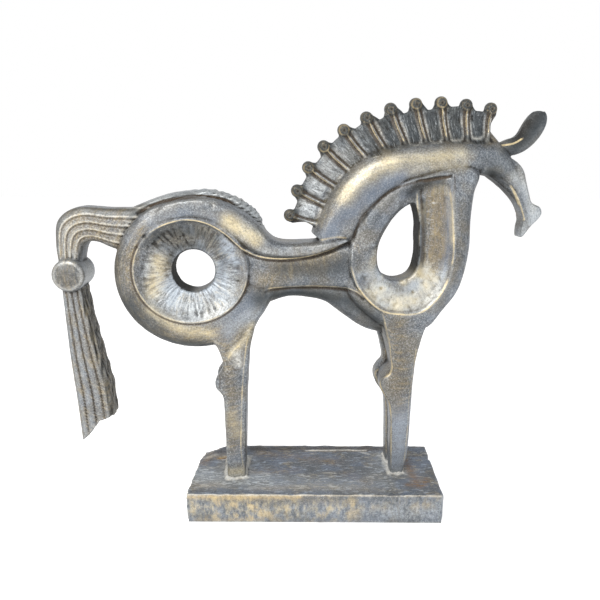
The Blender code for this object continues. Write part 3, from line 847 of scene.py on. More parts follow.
# Soft patches of each finish: line, width and strength.
tints = {
    "gold": [
        # Gold rub along the neck, with a painted highlight where the neck turns to the light.
        ([(24, 281), (36, 294), (50, 304), (66, 310.5)], 8.5, 0.6),
        ([(66, 311), (82, 314), (100, 316.5), (118, 318), (134, 320)], 6.5, 0.64),
        ([(86, 303), (112, 308), (136, 309)], 5.0, 0.25),
        ([(127, 283), (128.5, 262), (129, 240)], 2.0, 0.25),
        # Gold rub with a painted highlight where the rump's back band rolls over.
        ([(-84, 257), (-76, 252), (-66, 246), (-58, 241)], 6.5, 1.0),
        ([(-158, 174), (-146, 164), (-134, 157), (-118, 152), (-103, 150)], 5.0, 0.6),
        ([(-90, 6), (-74, 6)], 5.0, 0.6),
        ([(-84, 68), (-80, 50)], 6.0, 0.35),
        # Gold with a painted highlight on the chest bowl's bottom, which faces up.
        ([(60, 188), (76, 180), (97, 182), (108, 192)], 9.0, 0.5),
        ([(-156, 190), (-153, 205), (-150, 220)], 7.0, 0.65),
        ([(84, 197), (98, 206)], 4.0, 0.6),
        ([(-84, 130), (-76, 138), (-68, 147), (-63, 157)], 3.6, 0.6),
        ([(2, 256), (10, 274)], 4.0, 0.2),
        ([(110, 284), (121, 288), (126, 262), (128, 236)], 2.6, 0.2),
        ([(60, 230), (52, 214), (54, 200)], 5.0, 0.3),
    ],
    "brown": [
        ([(-162, 251), (-170, 236), (-175, 220), (-177, 203), (-173, 186), (-163, 170)], 6.0, 0.85),
        ([(-118, 158), (-96, 155)], 4.0, 0.4),
        ([(-188, 232), (-191, 205), (-183, 178), (-168, 158)], 9.0, 0.9),
        ([(-152, 150), (-126, 143), (-100, 146)], 10.0, 0.85),
        ([(-44, 214), (-8, 218), (16, 224)], 9.0, 0.4),
        ([(84, 120), (84, 92), (82, 70)], 10.0, 0.35),
        ([(-76, 225), (-70, 205), (-76, 188)], 4.0, 0.5),
        ([(6, 221), (-18, 212), (-42, 200), (-58, 194)], 8.0, 0.75),
        ([(-44, 214), (-10, 222), (14, 227)], 5.0, 0.6),
        ([(113, 277), (117, 249), (117, 225), (113, 207)], 8.5, 0.8),
        ([(76, 154), (80, 125), (82, 98)], 12.0, 0.85),
        ([(2, 252), (14, 272), (26, 284)], 6.0, 0.4),
        ([(-92, 140), (-84, 80), (-84, 30)], 7.0, 0.65),
        ([(137, 275), (137, 240), (131, 205), (119, 178)], 5.0, 0.3),
        ([(37, 232), (40, 214), (48, 197)], 6.0, 0.4),
        ([(-150, 238), (-134, 242), (-114, 240)], 9.0, 0.7),
        ([(-72, 153), (-80, 142), (-88, 130)], 4.5, 0.5),
    ],
    "dark": [
        ([(158, 313), (178, 307)], 10.0, 0.35),
        ([(178, 322), (190, 325), (200, 331)], 5.0, 0.55),
        ([(-176, 182), (-166, 168), (-150, 155)], 9.0, 0.6),
        # Painted shade and shadow in the top of the rump's dish, under its overhanging lip.
        ([(-158, 238), (-148, 245), (-130, 248), (-108, 245)], 6.0, 0.6),
        ([(-152, 240), (-147, 244)], 3.0, 0.8),
        # Painted shade in the dish above the hole.
        ([(-140, 218), (-136, 228), (-124, 235), (-108, 232)], 5.0, 0.7),
        ([(-98, 236), (-90, 224), (-92, 208)], 6.0, 0.35),
        ([(-184, 178), (-164, 152), (-140, 141), (-112, 137)], 8.0, 0.88),
        ([(-193, 225), (-190, 190), (-178, 166)], 10.0, 0.66),
        # Painted shade under the belly.
        ([(-56, 182), (-44, 186), (-10, 186), (25, 180), (56, 162)], 9.0, 0.9),
        ([(-34, 212), (0, 212), (24, 214)], 11.0, 0.68),
        ([(76, 156), (82, 120), (84, 96)], 12.0, 0.25),
        ([(-78, 108), (-81, 78), (-82, 40)], 7.0, 0.2),
        ([(140, 270), (136, 215), (120, 176)], 6.0, 0.3),
        ([(58, 160), (64, 146), (66, 128)], 5.0, 0.6),
        # Painted shadow in the slot under the neck.
        ([(90, 284), (98, 291), (112, 295)], 6.5, 0.75),
        # Painted shade on the chest hole's right wall.
        ([(100, 206), (101.5, 240), (100, 276)], 3.6, 0.9),
        # Painted shade along the crease under the neck.
        ([(38, 246), (50, 262), (64, 276), (78, 285)], 4.0, 0.35),
        # Painted shade on the ear's dark side.
        ([(190, 330), (202, 338), (211, 350), (216, 360)], 12.0, 1.0),
        # Painted shade on the jaw's inner side.
        ([(166, 300), (177, 287), (187, 272), (195, 256)], 8.5, 0.98),
        # Painted shadow under the rump's lip.
        ([(-146, 232), (-134, 243), (-116, 247), (-98, 240)], 8.0, 0.55),
        ([(-103, 101), (-99, 90)], 3.5, 0.5),
        ([(64, 86), (64, 104)], 3.0, 0.5),
        # Painted shade in the groove under the crest.
        ([(-174, 262), (-152, 272), (-133, 278), (-115, 281)], 3.0, 0.6),
        ([(62, 324), (90, 331), (130, 334), (160, 333)], 5.0, 0.85),
    ],
    "blue": [
        ([(10, 246), (26, 262), (42, 277), (58, 289), (80, 299)], 9.5, 0.95),
        ([(-172, 238), (-152, 256), (-122, 265), (-92, 256)], 7.0, 0.6),
        ([(-184, 196), (-176, 176)], 6.0, 0.4),
        ([(123, 277), (124.8, 239), (122, 210)], 4.5, 0.8),
        ([(84, 70), (84, 8)], 11.0, 1.0),
        ([(-66, 176), (-80, 162), (-88, 150)], 9.0, 0.85),
        ([(-74, 216), (-66, 200), (-64, 186)], 7.0, 0.8),
        ([(-52, 212), (-24, 217)], 7.0, 0.35),
        ([(196, 292), (206, 272), (212, 258)], 6.0, 0.4),
        ([(-80, 70), (-80, 20)], 5.0, 0.4),
        ([(60, 250), (70, 268), (84, 282)], 7.0, 0.4),
        ([(138, 210), (126, 180), (112, 160)], 6.0, 0.4),
        ([(-236, 240), (-232, 170), (-222, 60)], 16.0, 0.45),
    ],
    "silver": [
        # Painted highlight on the bottom of the rump's dish, which faces up.
        ([(-148, 184), (-137, 177), (-123, 172), (-106, 172), (-92, 180), (-82, 193)], 10.0, 0.6),
        ([(-86, 198), (-84, 208)], 7.0, 0.3),
        ([(-162, 200), (-160, 216)], 3.0, 0.35),
        # Painted highlight on the bottom of the chest bowl, which faces up.
        ([(54, 196), (64, 184), (80, 178), (103, 182), (118, 198)], 9.5, 0.75),
        ([(112, 196), (118, 210)], 6.0, 0.55),
        ([(190, 300), (200, 288), (208, 272), (213, 258)], 5.5, 0.5),
        ([(205, 250), (218, 264)], 7.0, 0.5),
        ([(-226, 265), (-190, 266)], 9.0, 0.2),
        ([(-239, 250), (-237, 225)], 13.0, 0.65),
        ([(-234, 180), (-228, 120), (-228, 50)], 8.0, 0.1),
        ([(-168, 246), (-152, 262), (-126, 269), (-100, 267)], 6.0, 0.12),
        ([(-60, 168), (-76, 160), (-88, 152)], 8.0, 0.3),
        ([(-48, 229), (-20, 229), (8, 234)], 4.0, 0.3),
        ([(-196, 214), (-192, 236), (-178, 252)], 4.0, 0.25),
        ([(196, 326), (207, 334), (215, 346)], 2.2, 0.2),
        # Painted highlight on the rump's back band.
        ([(-72, 251), (-66, 247)], 4.0, 0.5),
        ([(84, 60), (84, 8)], 8.0, 0.25),
    ],
    "pale": [
        ([(196, 298), (206, 282), (212, 266)], 4.0, 0.18),
        (horse["thighPatch"], 3.8, 0.55),
    ],
    # Painted shade in the ear's scoop, along the jaw's inner edge and in the slot under the neck.
    "hollowShade": [
        ([(193, 337), (200, 347), (208, 357)], 6.5, 0.85),
        ([(168, 298), (179, 286), (189, 271), (197, 252)], 4.6, 0.9),
        ([(178, 291), (187, 280), (193, 269), (198, 255)], 2.4, 1.0),
        ([(86, 284), (93, 289), (104, 292)], 3.8, 0.65),
    ],
}
# Thin lines of gold, and dark lines of painted shade along grooves, creases, under lips and beside ridges:
# line, half width and strength.
giltLines = [
    (oval(horse["rimCentre"], horse["rimRadii"])[29:74], 0.6, 0.5),
    (slipLine, 0.6, 0.75),
    ([(31, 216), (40, 192), (60, 172), (81, 167), (101, 169), (117, 183), (127, 203)], 0.9, 0.8),
    ([(129, 214), (130, 233), (127, 267), (124, 288)], 0.8, 0.65),
    (bellyLine, 0.7, 0.4),
    ([(-87, 125), (-81, 134), (-75, 138)], 0.9, 0.6),
    ([(62, 170), (65, 162), (67.5, 151), (71, 137), (72.2, 124), (74, 114), (72, 106), (64.5, 101.5),
      (62.5, 95.5), (68, 82.5), (72.5, 74.5), (74.6, 58), (75.3, 30), (76, 4)], 0.8, 0.65),
    ([(-66, 150), (-69, 138), (-71, 122), (-72.5, 107), (-74, 88), (-75, 62), (-76, 30), (-73, 6)],
     0.7, 0.4),
    ([(98, 136), (95, 105), (92, 79), (92, 58), (91, 37), (89, 9)], 0.7, 0.3),
    ([(186, 291), (192, 282), (198, 270), (203, 256)], 1.2, 0.85),
    ([(176, 328), (188, 330), (197, 335)], 0.9, 0.85),
    (troughLine, 0.8, 0.4),
    ([(2, 239), (16, 242), (28, 241)], 1.0, 0.5),
]
# Painted shade: dark lines in grooves and creases and under the overhanging lips.
shadeLines = [
    (oval(horse["rimCentre"], (54.8, 50.8))[28:74], 1.0, 0.8),
    (oval(horse["rimCentre"], (52.4, 48.4))[0:8], 0.8, 0.5),
    ([(u + 0.4, w - 2.2) for u, w in slipLine[5:]], 1.1, 0.55),
    (creaseLine, 1.2, 0.45),
    (slotLine, 1.9, 1.0),
    ([(33, 217), (42, 194), (61, 174.5), (81, 169.5), (100, 171.5)], 0.8, 0.3),
    ([(u, w - 2.2) for u, w in bellyLine], 1.2, 0.5),
    (crestLine, 1.3, 1.0),
    ([(101, 213), (102, 239), (100, 263), (97, 286)], 1.2, 0.5),
    ([(129, 286), (128, 300)], 1.0, 0.5),
    ([(-104, 108), (-98, 110), (-95, 104), (-96, 94)], 0.9, 0.5),
    ([(-84, 117), (-79, 113), (-73, 118), (-74, 130)], 0.9, 0.5),
]


def ribStrokes(shift, bow):
    # A line up each rib of the mane, moved and bowed towards the rump.
    lines = []
    for root, tip in zip(*maneLines()):
        run = tip - root
        rearward = Vector((-run.y, run.x)).normalized()
        stations = ((0.0, shift), (0.45, shift + bow), (0.84, shift))
        lines.append([tuple(root.lerp(tip, share) + rearward * away) for share, away in stations])
    return lines


def tailStrokes(shares, first, last):
    # Lines along the tail, from one part of its length to another, each at a share of its width.
    rings = tailRings(6)
    lines = []
    for share in shares:
        start = first + 0.06 * share * (first < 0.5)
        kept = rings[round(start * (len(rings) - 1)):round(last * (len(rings) - 1)) + 1:4]
        lines.append([[a + (b - a) * share for a, b in zip(outer, inner)] for outer, inner in kept])
    return lines


giltLines += [(line, 0.5, 0.55) for line in ribStrokes(0.6, 0.8)]
# Painted shade along both sides of each mane rib.
shadeLines += [(line, 1.2, 0.7) for line in ribStrokes(-2.2, 0.8) + ribStrokes(2.8, 0.8)]
giltLines += [(line, 0.7, 0.22) for line in tailStrokes((0.2, 0.4, 0.6, 0.8), 0.045, 0.52)]
# Painted shade in the grooves between the tail's ridges, and between its strands below.
shadeLines += [(line, 1.1, 0.4) for line in tailStrokes((0.245, 0.445, 0.645, 0.845), 0.045, 0.52)]
shadeLines += [(line, 0.8, 0.3) for line in tailStrokes((0.25, 0.5, 0.75), 0.6, 1.0)]
finishKinds = (
    "gold", "brown", "blue", "silver", "pale", "dark", "dish", "bowl", "trough", "web", "knob",
    "wear", "hollowShade", "under",
)


def nearestLine(across, up, lines):
    # A signed gap to the nearest of many lines, in line widths, and that line's strength round it.
    best = np.full(len(across), 1e9)
    signed = np.full(len(across), 9.0)
    strength = np.zeros(len(across))
    for points, width, amount in lines:
        gap, along, side = lineField(across, up, points)
        nearer = gap < best
        best = np.where(nearer, gap, best)
        signed = np.where(nearer, np.clip(gap * side / width, -9, 9), signed)
        fade = ease(along, 0.0, 0.06) * ease(-along, -1.0, -0.94)
        strength = np.where(nearer, amount * fade * ease(-gap, -3.1, -2.0), strength)
    return signed, strength


def bend(piece, rounds):
    # How much each vertex stands proud (above 0) or lies low (below 0), in millimetres.
    places, normals = readPlaces(piece), readNormals(piece)
    pairs = np.empty(len(piece.data.edges) * 2, dtype=np.int64)
    piece.data.edges.foreach_get("vertices", pairs)
    first, second = pairs.reshape(-1, 2).T
    count = np.bincount(first, minlength=len(places)) + np.bincount(second, minlength=len(places))

    def average(values):
        total = np.bincount(first, values[second], len(places))
        total += np.bincount(second, values[first], len(places))
        return total / np.maximum(count, 1)

    around = np.stack([average(places[:, axis]) for axis in range(3)], axis=1)
    for _ in range(rounds):
        around = np.stack([average(around[:, axis]) for axis in range(3)], axis=1)
    proud = ((places - around) * normals).sum(axis=1)
    return 0.5 * proud + 0.5 * average(proud)


def addLayer(piece, kind, values):
    layer = piece.data.attributes.new(kind, "FLOAT", "POINT")
    layer.data.foreach_set("value", values.astype(np.float32))


def startCoats(kinds, count):
    # What each kind of finish leaves bare, and the brush that lays more of it on.
    bare = {kind: np.ones(count) for kind in kinds}

    def lay(kind, amount):
        bare[kind] *= 1 - np.clip(amount, 0, 1)
    return bare, lay


def layTints(lay, patches, across, up, share):
    for kind, lines in patches.items():
        for points, width, strength in lines:
            lay(kind, strength * bell(lineField(across, up, points)[0], width) * share)


def addCoats(piece, bare):
    for kind, rest in bare.items():
        addLayer(piece, kind, 1 - rest)


def paintHorse(piece):
    places, normals = readPlaces(piece), readNormals(piece)
    u, depth, w = places.T
    side = ease(np.abs(normals[:, 1]), 0.15, 0.45)
    area = regions(places)
    bare, lay = startCoats(finishKinds, len(places))

    # The far side wears the same finish, more plainly.
    plain = 1 - 0.4 * ease(depth, -4, 10)
    layTints(lay, tints, u, w, (0.35 + 0.65 * side) * plain)
    lay("dish", area["dish"])
    lay("bowl", area["bowl"] * side)
    lay("trough", area["trough"] * side)

    # The mane: brown ribs and dark knobs, pale webs on the back of the neck and dark ones on top.
    back = area["back"]
    rib = area["mane"] * (np.cos(2 * math.pi * area["manePlace"]) * 0.5 + 0.5) ** 3
    lay("web", area["web"] * side)
    lay("brown", (0.6 - 0.3 * back) * rib * side)
    lay("knob", area["mane"] * (1 - ease(area["knobGap"], 6.5, 9.5)))
    # Darker towards the mane's outer edge, partly painted shade on the webs' edges.
    lay("dark", area["mane"] * (0.4 + 0.2 * back) * ease(area["maneUp"], 0.5, 0.9))
    lay("dark", area["web"] * (0.95 - 0.85 * back))
    lay("silver", area["mane"] * side * 0.6 * back * (1 - ease(area["maneUp"], 0.6, 0.95)))
    cupped = bell(area["cup"] - 1.6, 0.8) * (1 - ease(area["maneUp"], 0.3, 0.7))
    lay("pale", 0.35 * area["mane"] * (1 - back) * ease(u, 50, 100) * cupped * side)

    # The tail: grey bands with brown under each ridge, then pale strands, brown between and inside.
    hangs, gap = area["hangs"], area["strandGap"]
    tail = area["tail"] * side
    lay("brown", tail * (1 - hangs) * (0.4 + 0.5 * bell(gap - 0.22, 0.2)))
    lay("brown", tail * hangs * (0.2 + 0.45 * bell(gap, 0.2) + 0.35 * ease(area["tailShare"], 0.5, 0.85)))
    lay("brown", tail * 0.5 * ease(waves(places, (14, 14, 26), 61), 0.1, 0.8))
    ridgeTop, strandEdge = bell(gap, 0.1), bell(np.abs(gap) - 0.5, 0.25)
    lay("silver", tail * ((1 - hangs) * 0.5 * ridgeTop + hangs * 0.12 * strandEdge))
    lay("dark", tail * (1 - hangs) * 0.5 * (area["tailShare"] < 0.17))
    inward = area["tail"] * ease(area["tailShare"], 0.72, 0.9) * ease(normals[:, 0], 0.2, 0.6)
    lay("dark", inward * (0.4 + 0.4 * ease(-area["fray"], 0.0, 0.6)))
    lay("brown", inward * hangs * 0.8)
    lay("silver", inward * hangs * 0.5 * ease(area["fray"], 0.2, 0.7))
    lay("pale", tail * (1 - hangs) * 0.5 * bell(gap + 0.02, 0.06))

    # The knot: a pale worn rim round a darker streaked face, its wall pale below and with painted shade
    # above.
    face, wall = area["knot"] * side, area["knot"] * (1 - side)
    streaked = 0.25 + 0.5 * ease(waves(places, (4, 9, 12), 62), 0.0, 0.8)
    upward = w - horse["knot"][1] - 0.6 * (u - horse["knot"][0])
    lay("brown", face * 0.6)
    lay("silver", face * 0.6 * bell(area["knotGap"] - 12.8, 1.4))
    lay("dark", face * streaked * (area["knotGap"] < 11.5))
    lay("silver", wall * 0.6)
    # Painted shade on the upper part of the knot's wall.
    lay("dark", wall * ease(upward, -6, 4) * 0.7)

    # The crest, and painted shade on the walls of both holes, in the pits of the dish's eaten corner, on
    # what faces down and in what lies low.
    lay("silver", area["crest"] * 0.72)
    lay("dark", area["crest"] * 0.2)
    # Painted shade on the walls of both holes.
    lay("dark", area["holeWall"] * 0.9)
    lay("hollowShade", area["holeWall"] * (0.8 + 0.2 * ease(waves(places, (6, 6, 6), 63), 0, 0.6)))
    lay("hollowShade", area["rotten"] * side * area["pits"] * 0.9)
    # Painted shade on surfaces that face down.
    lay("under", ease(-normals[:, 2], 0.25, 0.85) * 0.8)
    proud = bend(piece, 2)
    # Silver wear on what stands proud, and painted shade in what lies low.
    lay("wear", ease(proud, 0.06, 0.4))
    lay("hollowShade", ease(-proud, 0.05, 0.32))
    addCoats(piece, bare)
    for name in ("manePlace", "maneUp", "knobGap"):
        addLayer(piece, name, area[name])
    # Gold lines, and dark lines of painted shade, each with its signed gap.
    for name, lines in (("gilt", giltLines), ("shadeLine", shadeLines)):
        signed, strength = nearestLine(u, w, lines)
        addLayer(piece, name, strength * side * plain)
        addLayer(piece, name + "Gap", signed)


def trimCount(piece, wanted):
    piece.data.calc_loop_triangles()
    applyModifier(piece, "DECIMATE", ratio=min(1.0, wanted / len(piece.data.loop_triangles)))


def cutBelow(piece, height):
    # Everything under the standing level goes, and the cut is closed flat.
    bpy.ops.object.select_all(action="DESELECT")
    piece.select_set(True)
    bpy.context.view_layer.objects.active = piece
    bpy.ops.object.mode_set(mode="EDIT")
    bpy.ops.mesh.select_all(action="SELECT")
    bpy.ops.mesh.bisect(plane_co=(0, 0, height * mm), plane_no=(0, 0, 1), use_fill=True, clear_inner=True)
    bpy.ops.mesh.select_all(action="SELECT")
    bpy.ops.mesh.quads_convert_to_tris()
    bpy.ops.object.mode_set(mode="OBJECT")


def keepInside(piece, node):
    low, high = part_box(node)
    places = readPlaces(piece)
    writePlaces(piece, np.clip(places, np.array(low) / mm, np.array(high) / mm))


def makeHorse():
    before = set(bpy.data.objects)
    for add in (addRump, addChest, addTrunk, addLegs, addMane, addHead, addTail):
        add()
    shells = [thing for thing in bpy.data.objects if thing not in before]
    piece = joinShells("castHorse", shells)
    print("horse: joined", len(shells), "shells")
    applyModifier(piece, "REMESH", mode="VOXEL", voxel_size=horse["castCell"] * mm)
    applyModifier(piece, "SMOOTH", factor=0.5, iterations=2)
    print("horse: cast skin of", len(piece.data.vertices), "points")
    writePlaces(piece, carve(readPlaces(piece), readNormals(piece)))
    applyModifier(piece, "SMOOTH", factor=0.3, iterations=1)
    trimCount(piece, horse["triangles"])
    cutBelow(piece, 0.0)
    paintHorse(piece)
    stand = Matrix.Translation((0, horse["setBack"] * mm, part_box("plinth")[1][2] + horse["lift"] * mm))
    piece.data.transform(stand @ Matrix.Rotation(math.radians(horse["turn"]), 4, "Z"))
    keepInside(piece, "horse")
    bpy.ops.object.shade_smooth()
    piece.data.calc_loop_triangles()
    print("horse:", len(piece.data.loop_triangles), "triangles")
    return piece


# The plinth: rough on top, gold rubbed along its front, broken at its left back corner.
plinth = {
    "castCell": 1.0,
    "triangles": 160000,
    "edge": 1.4,
    "breakAlong": 25.0,
    "breakBack": 40.0,
    "breakDrop": 10.0,
    "hindFoot": (-90, -72, -24, 24),  # u from and to, depth from and to
    "frontFoot": (75.5, 88, -24, 24),
    "plasterWidth": 3.4,
    "plasterHeight": 1.7,
    "pitLine": [(-103, 24), (-94, 25)],
    "scratchLine": [(-14, 41), (20, 42), (58, 42.5)],
    "sink": -0.25,  # the heights of its roughness, below 0 where it is worn away
    "swell": 0.22,
    "topGrain": (0.20, 0.12),
    "frontGrain": (0.12, 0.1),
    "pit": -2.2,
    "scratch": -0.9,
    "breakLumps": 0.9,
    "breakSink": -0.4,
    "backLumps": 0.8,
    "backSink": -0.5,
    "edgeChip": -1.6,
    "footChips": -1.3,
}


def boxGap(across, depth, foot):
    du = np.maximum(np.maximum(foot[0] - across, across - foot[1]), 0)
    dv = np.maximum(np.maximum(foot[2] - depth, depth - foot[3]), 0)
    return np.hypot(du, dv)


def footGap(places):
    turn = math.radians(horse["turn"])
    x, y = places[:, 0], places[:, 1] - horse["setBack"]
    across = x * math.cos(turn) + y * math.sin(turn)
    depth = -x * math.sin(turn) + y * math.cos(turn)
    return np.minimum(boxGap(across, depth, plinth["hindFoot"]), boxGap(across, depth, plinth["frontFoot"]))


def plasterHeap(places):
    reach = plinth["plasterWidth"] * (0.75 + 0.4 * waves(places, (11, 11, 11), 58))
    return bell(np.maximum(footGap(places) - 0.3, 0), np.maximum(reach, 0.8))


def makePlinth():
    low, high = [Vector(corner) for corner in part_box("plinth")]
    size = high - low
    bpy.ops.object.select_all(action="DESELECT")
    bpy.ops.mesh.primitive_cube_add(size=1, location=(low + high) / 2, scale=size)
    piece = bpy.context.object
    piece.name = piece.data.name = "castPlinth"
    bpy.ops.object.transform_apply(location=True, rotation=True, scale=True)

    # The broken corner is cut off by a slanting plane.
    left = Vector((low.x, high.y - plinth["breakBack"] * mm, high.z))
    back = Vector((low.x + plinth["breakAlong"] * mm, high.y, high.z))
    below = Vector((low.x, high.y, high.z - plinth["breakDrop"] * mm))
    normal = (back - left).cross(below - left).normalized()
    normal *= math.copysign(1, normal.dot(Vector((-1, 1, 1))))
    bpy.ops.object.mode_set(mode="EDIT")
    bpy.ops.mesh.select_all(action="SELECT")
    bpy.ops.mesh.bisect(plane_co=left, plane_no=normal, use_fill=True, clear_outer=True)
    bpy.ops.object.mode_set(mode="OBJECT")
    edge = {"width": plinth["edge"] * mm, "segments": 4, "limit_method": "ANGLE"}
    applyModifier(piece, "BEVEL", **edge, angle_limit=math.radians(20))
    applyModifier(piece, "REMESH", mode="VOXEL", voxel_size=plinth["castCell"] * mm)
    applyModifier(piece, "SMOOTH", factor=0.5, iterations=1)
    writePlaces(piece, roughen(readPlaces(piece), readNormals(piece)))
    trimCount(piece, plinth["triangles"])
    paintPlinth(piece)
    bpy.ops.object.shade_smooth()
    piece.data.calc_loop_triangles()
    print("plinth:", len(piece.data.loop_triangles), "triangles")
    return piece


def roughen(places, normals):
    x, y, z = places.T
    low, high = [np.array(corner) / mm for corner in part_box("plinth")]
    top = ease(normals[:, 2], 0.5, 0.9) * (z > high[2] - 3)
    front = ease(-normals[:, 1], 0.5, 0.9)
    foot = ease(-normals[:, 2], 0.5, 0.9)
    wide = np.stack([x / 3.2, y, z], axis=1)
    move = (plinth["sink"] + plinth["swell"] * waves(places, (28, 28, 28), 51)) * (1 - foot)
    coarse, fine = plinth["topGrain"]
    move += top * (coarse * waves(wide, (5, 5, 5), 52) + fine * waves(wide, (2.6, 2.6, 2.6), 53))
    tall = np.stack([x, y, z / 2.5], axis=1)
    coarse, fine = plinth["frontGrain"]
    move += front * (coarse * waves(tall, (7, 7, 7), 54) + fine * waves(places, (4, 4, 4), 55))

    # A pit beside the broken corner, a long scratch near the back edge and small chips.
    move += plinth["pit"] * bell(lineField(x, y, plinth["pitLine"])[0], 3.0) * top
    move += plinth["scratch"] * bell(lineField(x, y, plinth["scratchLine"])[0], 1.0) * top
    broken = ease(normals[:, 1] * 0.5 - normals[:, 0] * 0.6, 0.25, 0.6) * (z > 15) * (x < -95)
    move += broken * (plinth["breakLumps"] * waves(places, (7, 7, 7), 56) + plinth["breakSink"])
    edgeY = bell(y - high[1], 3.0) * top
    move += edgeY * (plinth["backLumps"] * waves(places, (22, 22, 22), 57) + plinth["backSink"])
    move += plinth["edgeChip"] * bell(np.hypot(x - high[0], y - 26), 4.0) * (z > 18)
    corners = bell(np.abs(x) - high[0], 4.0) * bell(z, 4.0)
    move += plinth["footChips"] * corners * (1 - foot)
    moved = places + normals * move[:, None]

    # Plaster heaped round the feet, its edge uneven.
    heap = plasterHeap(places)
    moved[:, 2] += top * heap * plinth["plasterHeight"] * (1 + 0.35 * waves(places, (4, 4, 4), 59))
    moved[:, 2] = np.where(foot > 0.5, 0.0, np.maximum(moved[:, 2], 0.0))
    moved[:, :2] = np.clip(moved[:, :2], low[:2], high[:2])
    return moved


# Soft patches on the plinth's top in x and y, and on its front in x and z: line, width and strength.
topTints = {
    "rust": [
        ([(101, -36), (98, 0), (95, 30)], 5.0, 0.7),
        (plinth["pitLine"], 4.0, 0.9),
        ([(-14, 40), (20, 41), (58, 41.5)], 1.6, 0.5),
        ([(-60, 34), (-20, 26), (20, 16)], 9.0, 0.3),
        ([(92, -34), (104, -38), (112, -24)], 3.6, 0.8),
        ([(-118, 10), (-112, 30)], 6.0, 0.5),
        ([(30, -10), (52, -30)], 7.0, 0.2),
        ([(-66, -10), (-20, -4)], 6.0, 0.25),
    ],
    "pale": [
        ([(-10, 42.5), (20, 43.5), (56, 44)], 0.9, 0.8),
        ([(-118, 22), (-108, 30)], 3.0, 0.4),
        ([(48, 40), (58, 34)], 1.6, 0.5),
    ],
    "silver": [
        ([(-112, -24), (-70, -30), (20, -34), (70, -34)], 16.0, 0.5),
        ([(-112, -16), (-92, -26), (-60, -24)], 17.0, 0.75),
        ([(60, -20), (70, 20)], 10.0, 0.3),
    ],
    "gold": [
        ([(-60, -44), (0, -42), (60, -46)], 7.0, 0.22),
        ([(-118, -40), (-96, -36)], 8.0, 0.3),
    ],
    "dark": [
        ([(-70, 46), (0, 48), (90, 48)], 6.0, 0.8),
        ([(-100, 40), (-118, 36)], 9.0, 0.7),
    ],
}
frontTints = {
    "gold": [
        ([(-121, 27), (-80, 27), (-15, 28)], 3.0, 0.95),
        ([(-15, 29), (60, 29), (121, 29)], 0.9, 0.8),
        ([(-115, 2.5), (-50, 2.5)], 2.0, 0.35),
    ],
    "patch": [
        ([(-118, 16), (-60, 14)], 13.0, 1.0),
        ([(-60, 15), (30, 15)], 12.0, 0.8),
        ([(40, 20), (118, 22)], 7.0, 0.35),
    ],
    "brown": [
        ([(-100, 26), (-40, 24), (20, 26)], 6.0, 0.5),
    ],
    "pale": [
        ([(-121, 29.6), (121, 29.6)], 0.9, 0.5),
    ],
    "silver": [
        ([(-118, 14), (118, 14)], 12.0, 0.22),
        ([(66, 12), (116, 12)], 8.0, 0.2),
    ],
    "dark": [
        ([(-123, 0), (123, 0)], 1.4, 0.9),
        ([(-70, 27), (-66, 2)], 1.0, 0.4),
        ([(78, 27), (82, 4)], 1.0, 0.35),
    ],
}
plinthKinds = ("gold", "patch", "rust", "brown", "silver", "pale", "dark", "top", "wear", "hollowShade")


def paintPlinth(piece):
    places, normals = readPlaces(piece), readNormals(piece)
    x, y, z = places.T
    top = ease(normals[:, 2], 0.25, 0.6)
    front = ease(np.maximum(np.abs(normals[:, 1]), np.abs(normals[:, 0])), 0.3, 0.6)
    bare, lay = startCoats(plinthKinds, len(places))
    layTints(lay, topTints, x, y, top)
    layTints(lay, frontTints, x, z, front)
    lay("top", top)
    lay("pale", 0.8 * plasterHeap(places) * top)
    lay("silver", 0.4 * bell(footGap(places), 12) * top)
    proud = bend(piece, 2)
    # Silver wear on what stands proud, and painted shade in what lies low.
    lay("wear", ease(proud, 0.04, 0.3))
    lay("hollowShade", ease(-proud, 0.04, 0.25))
    addCoats(piece, bare)


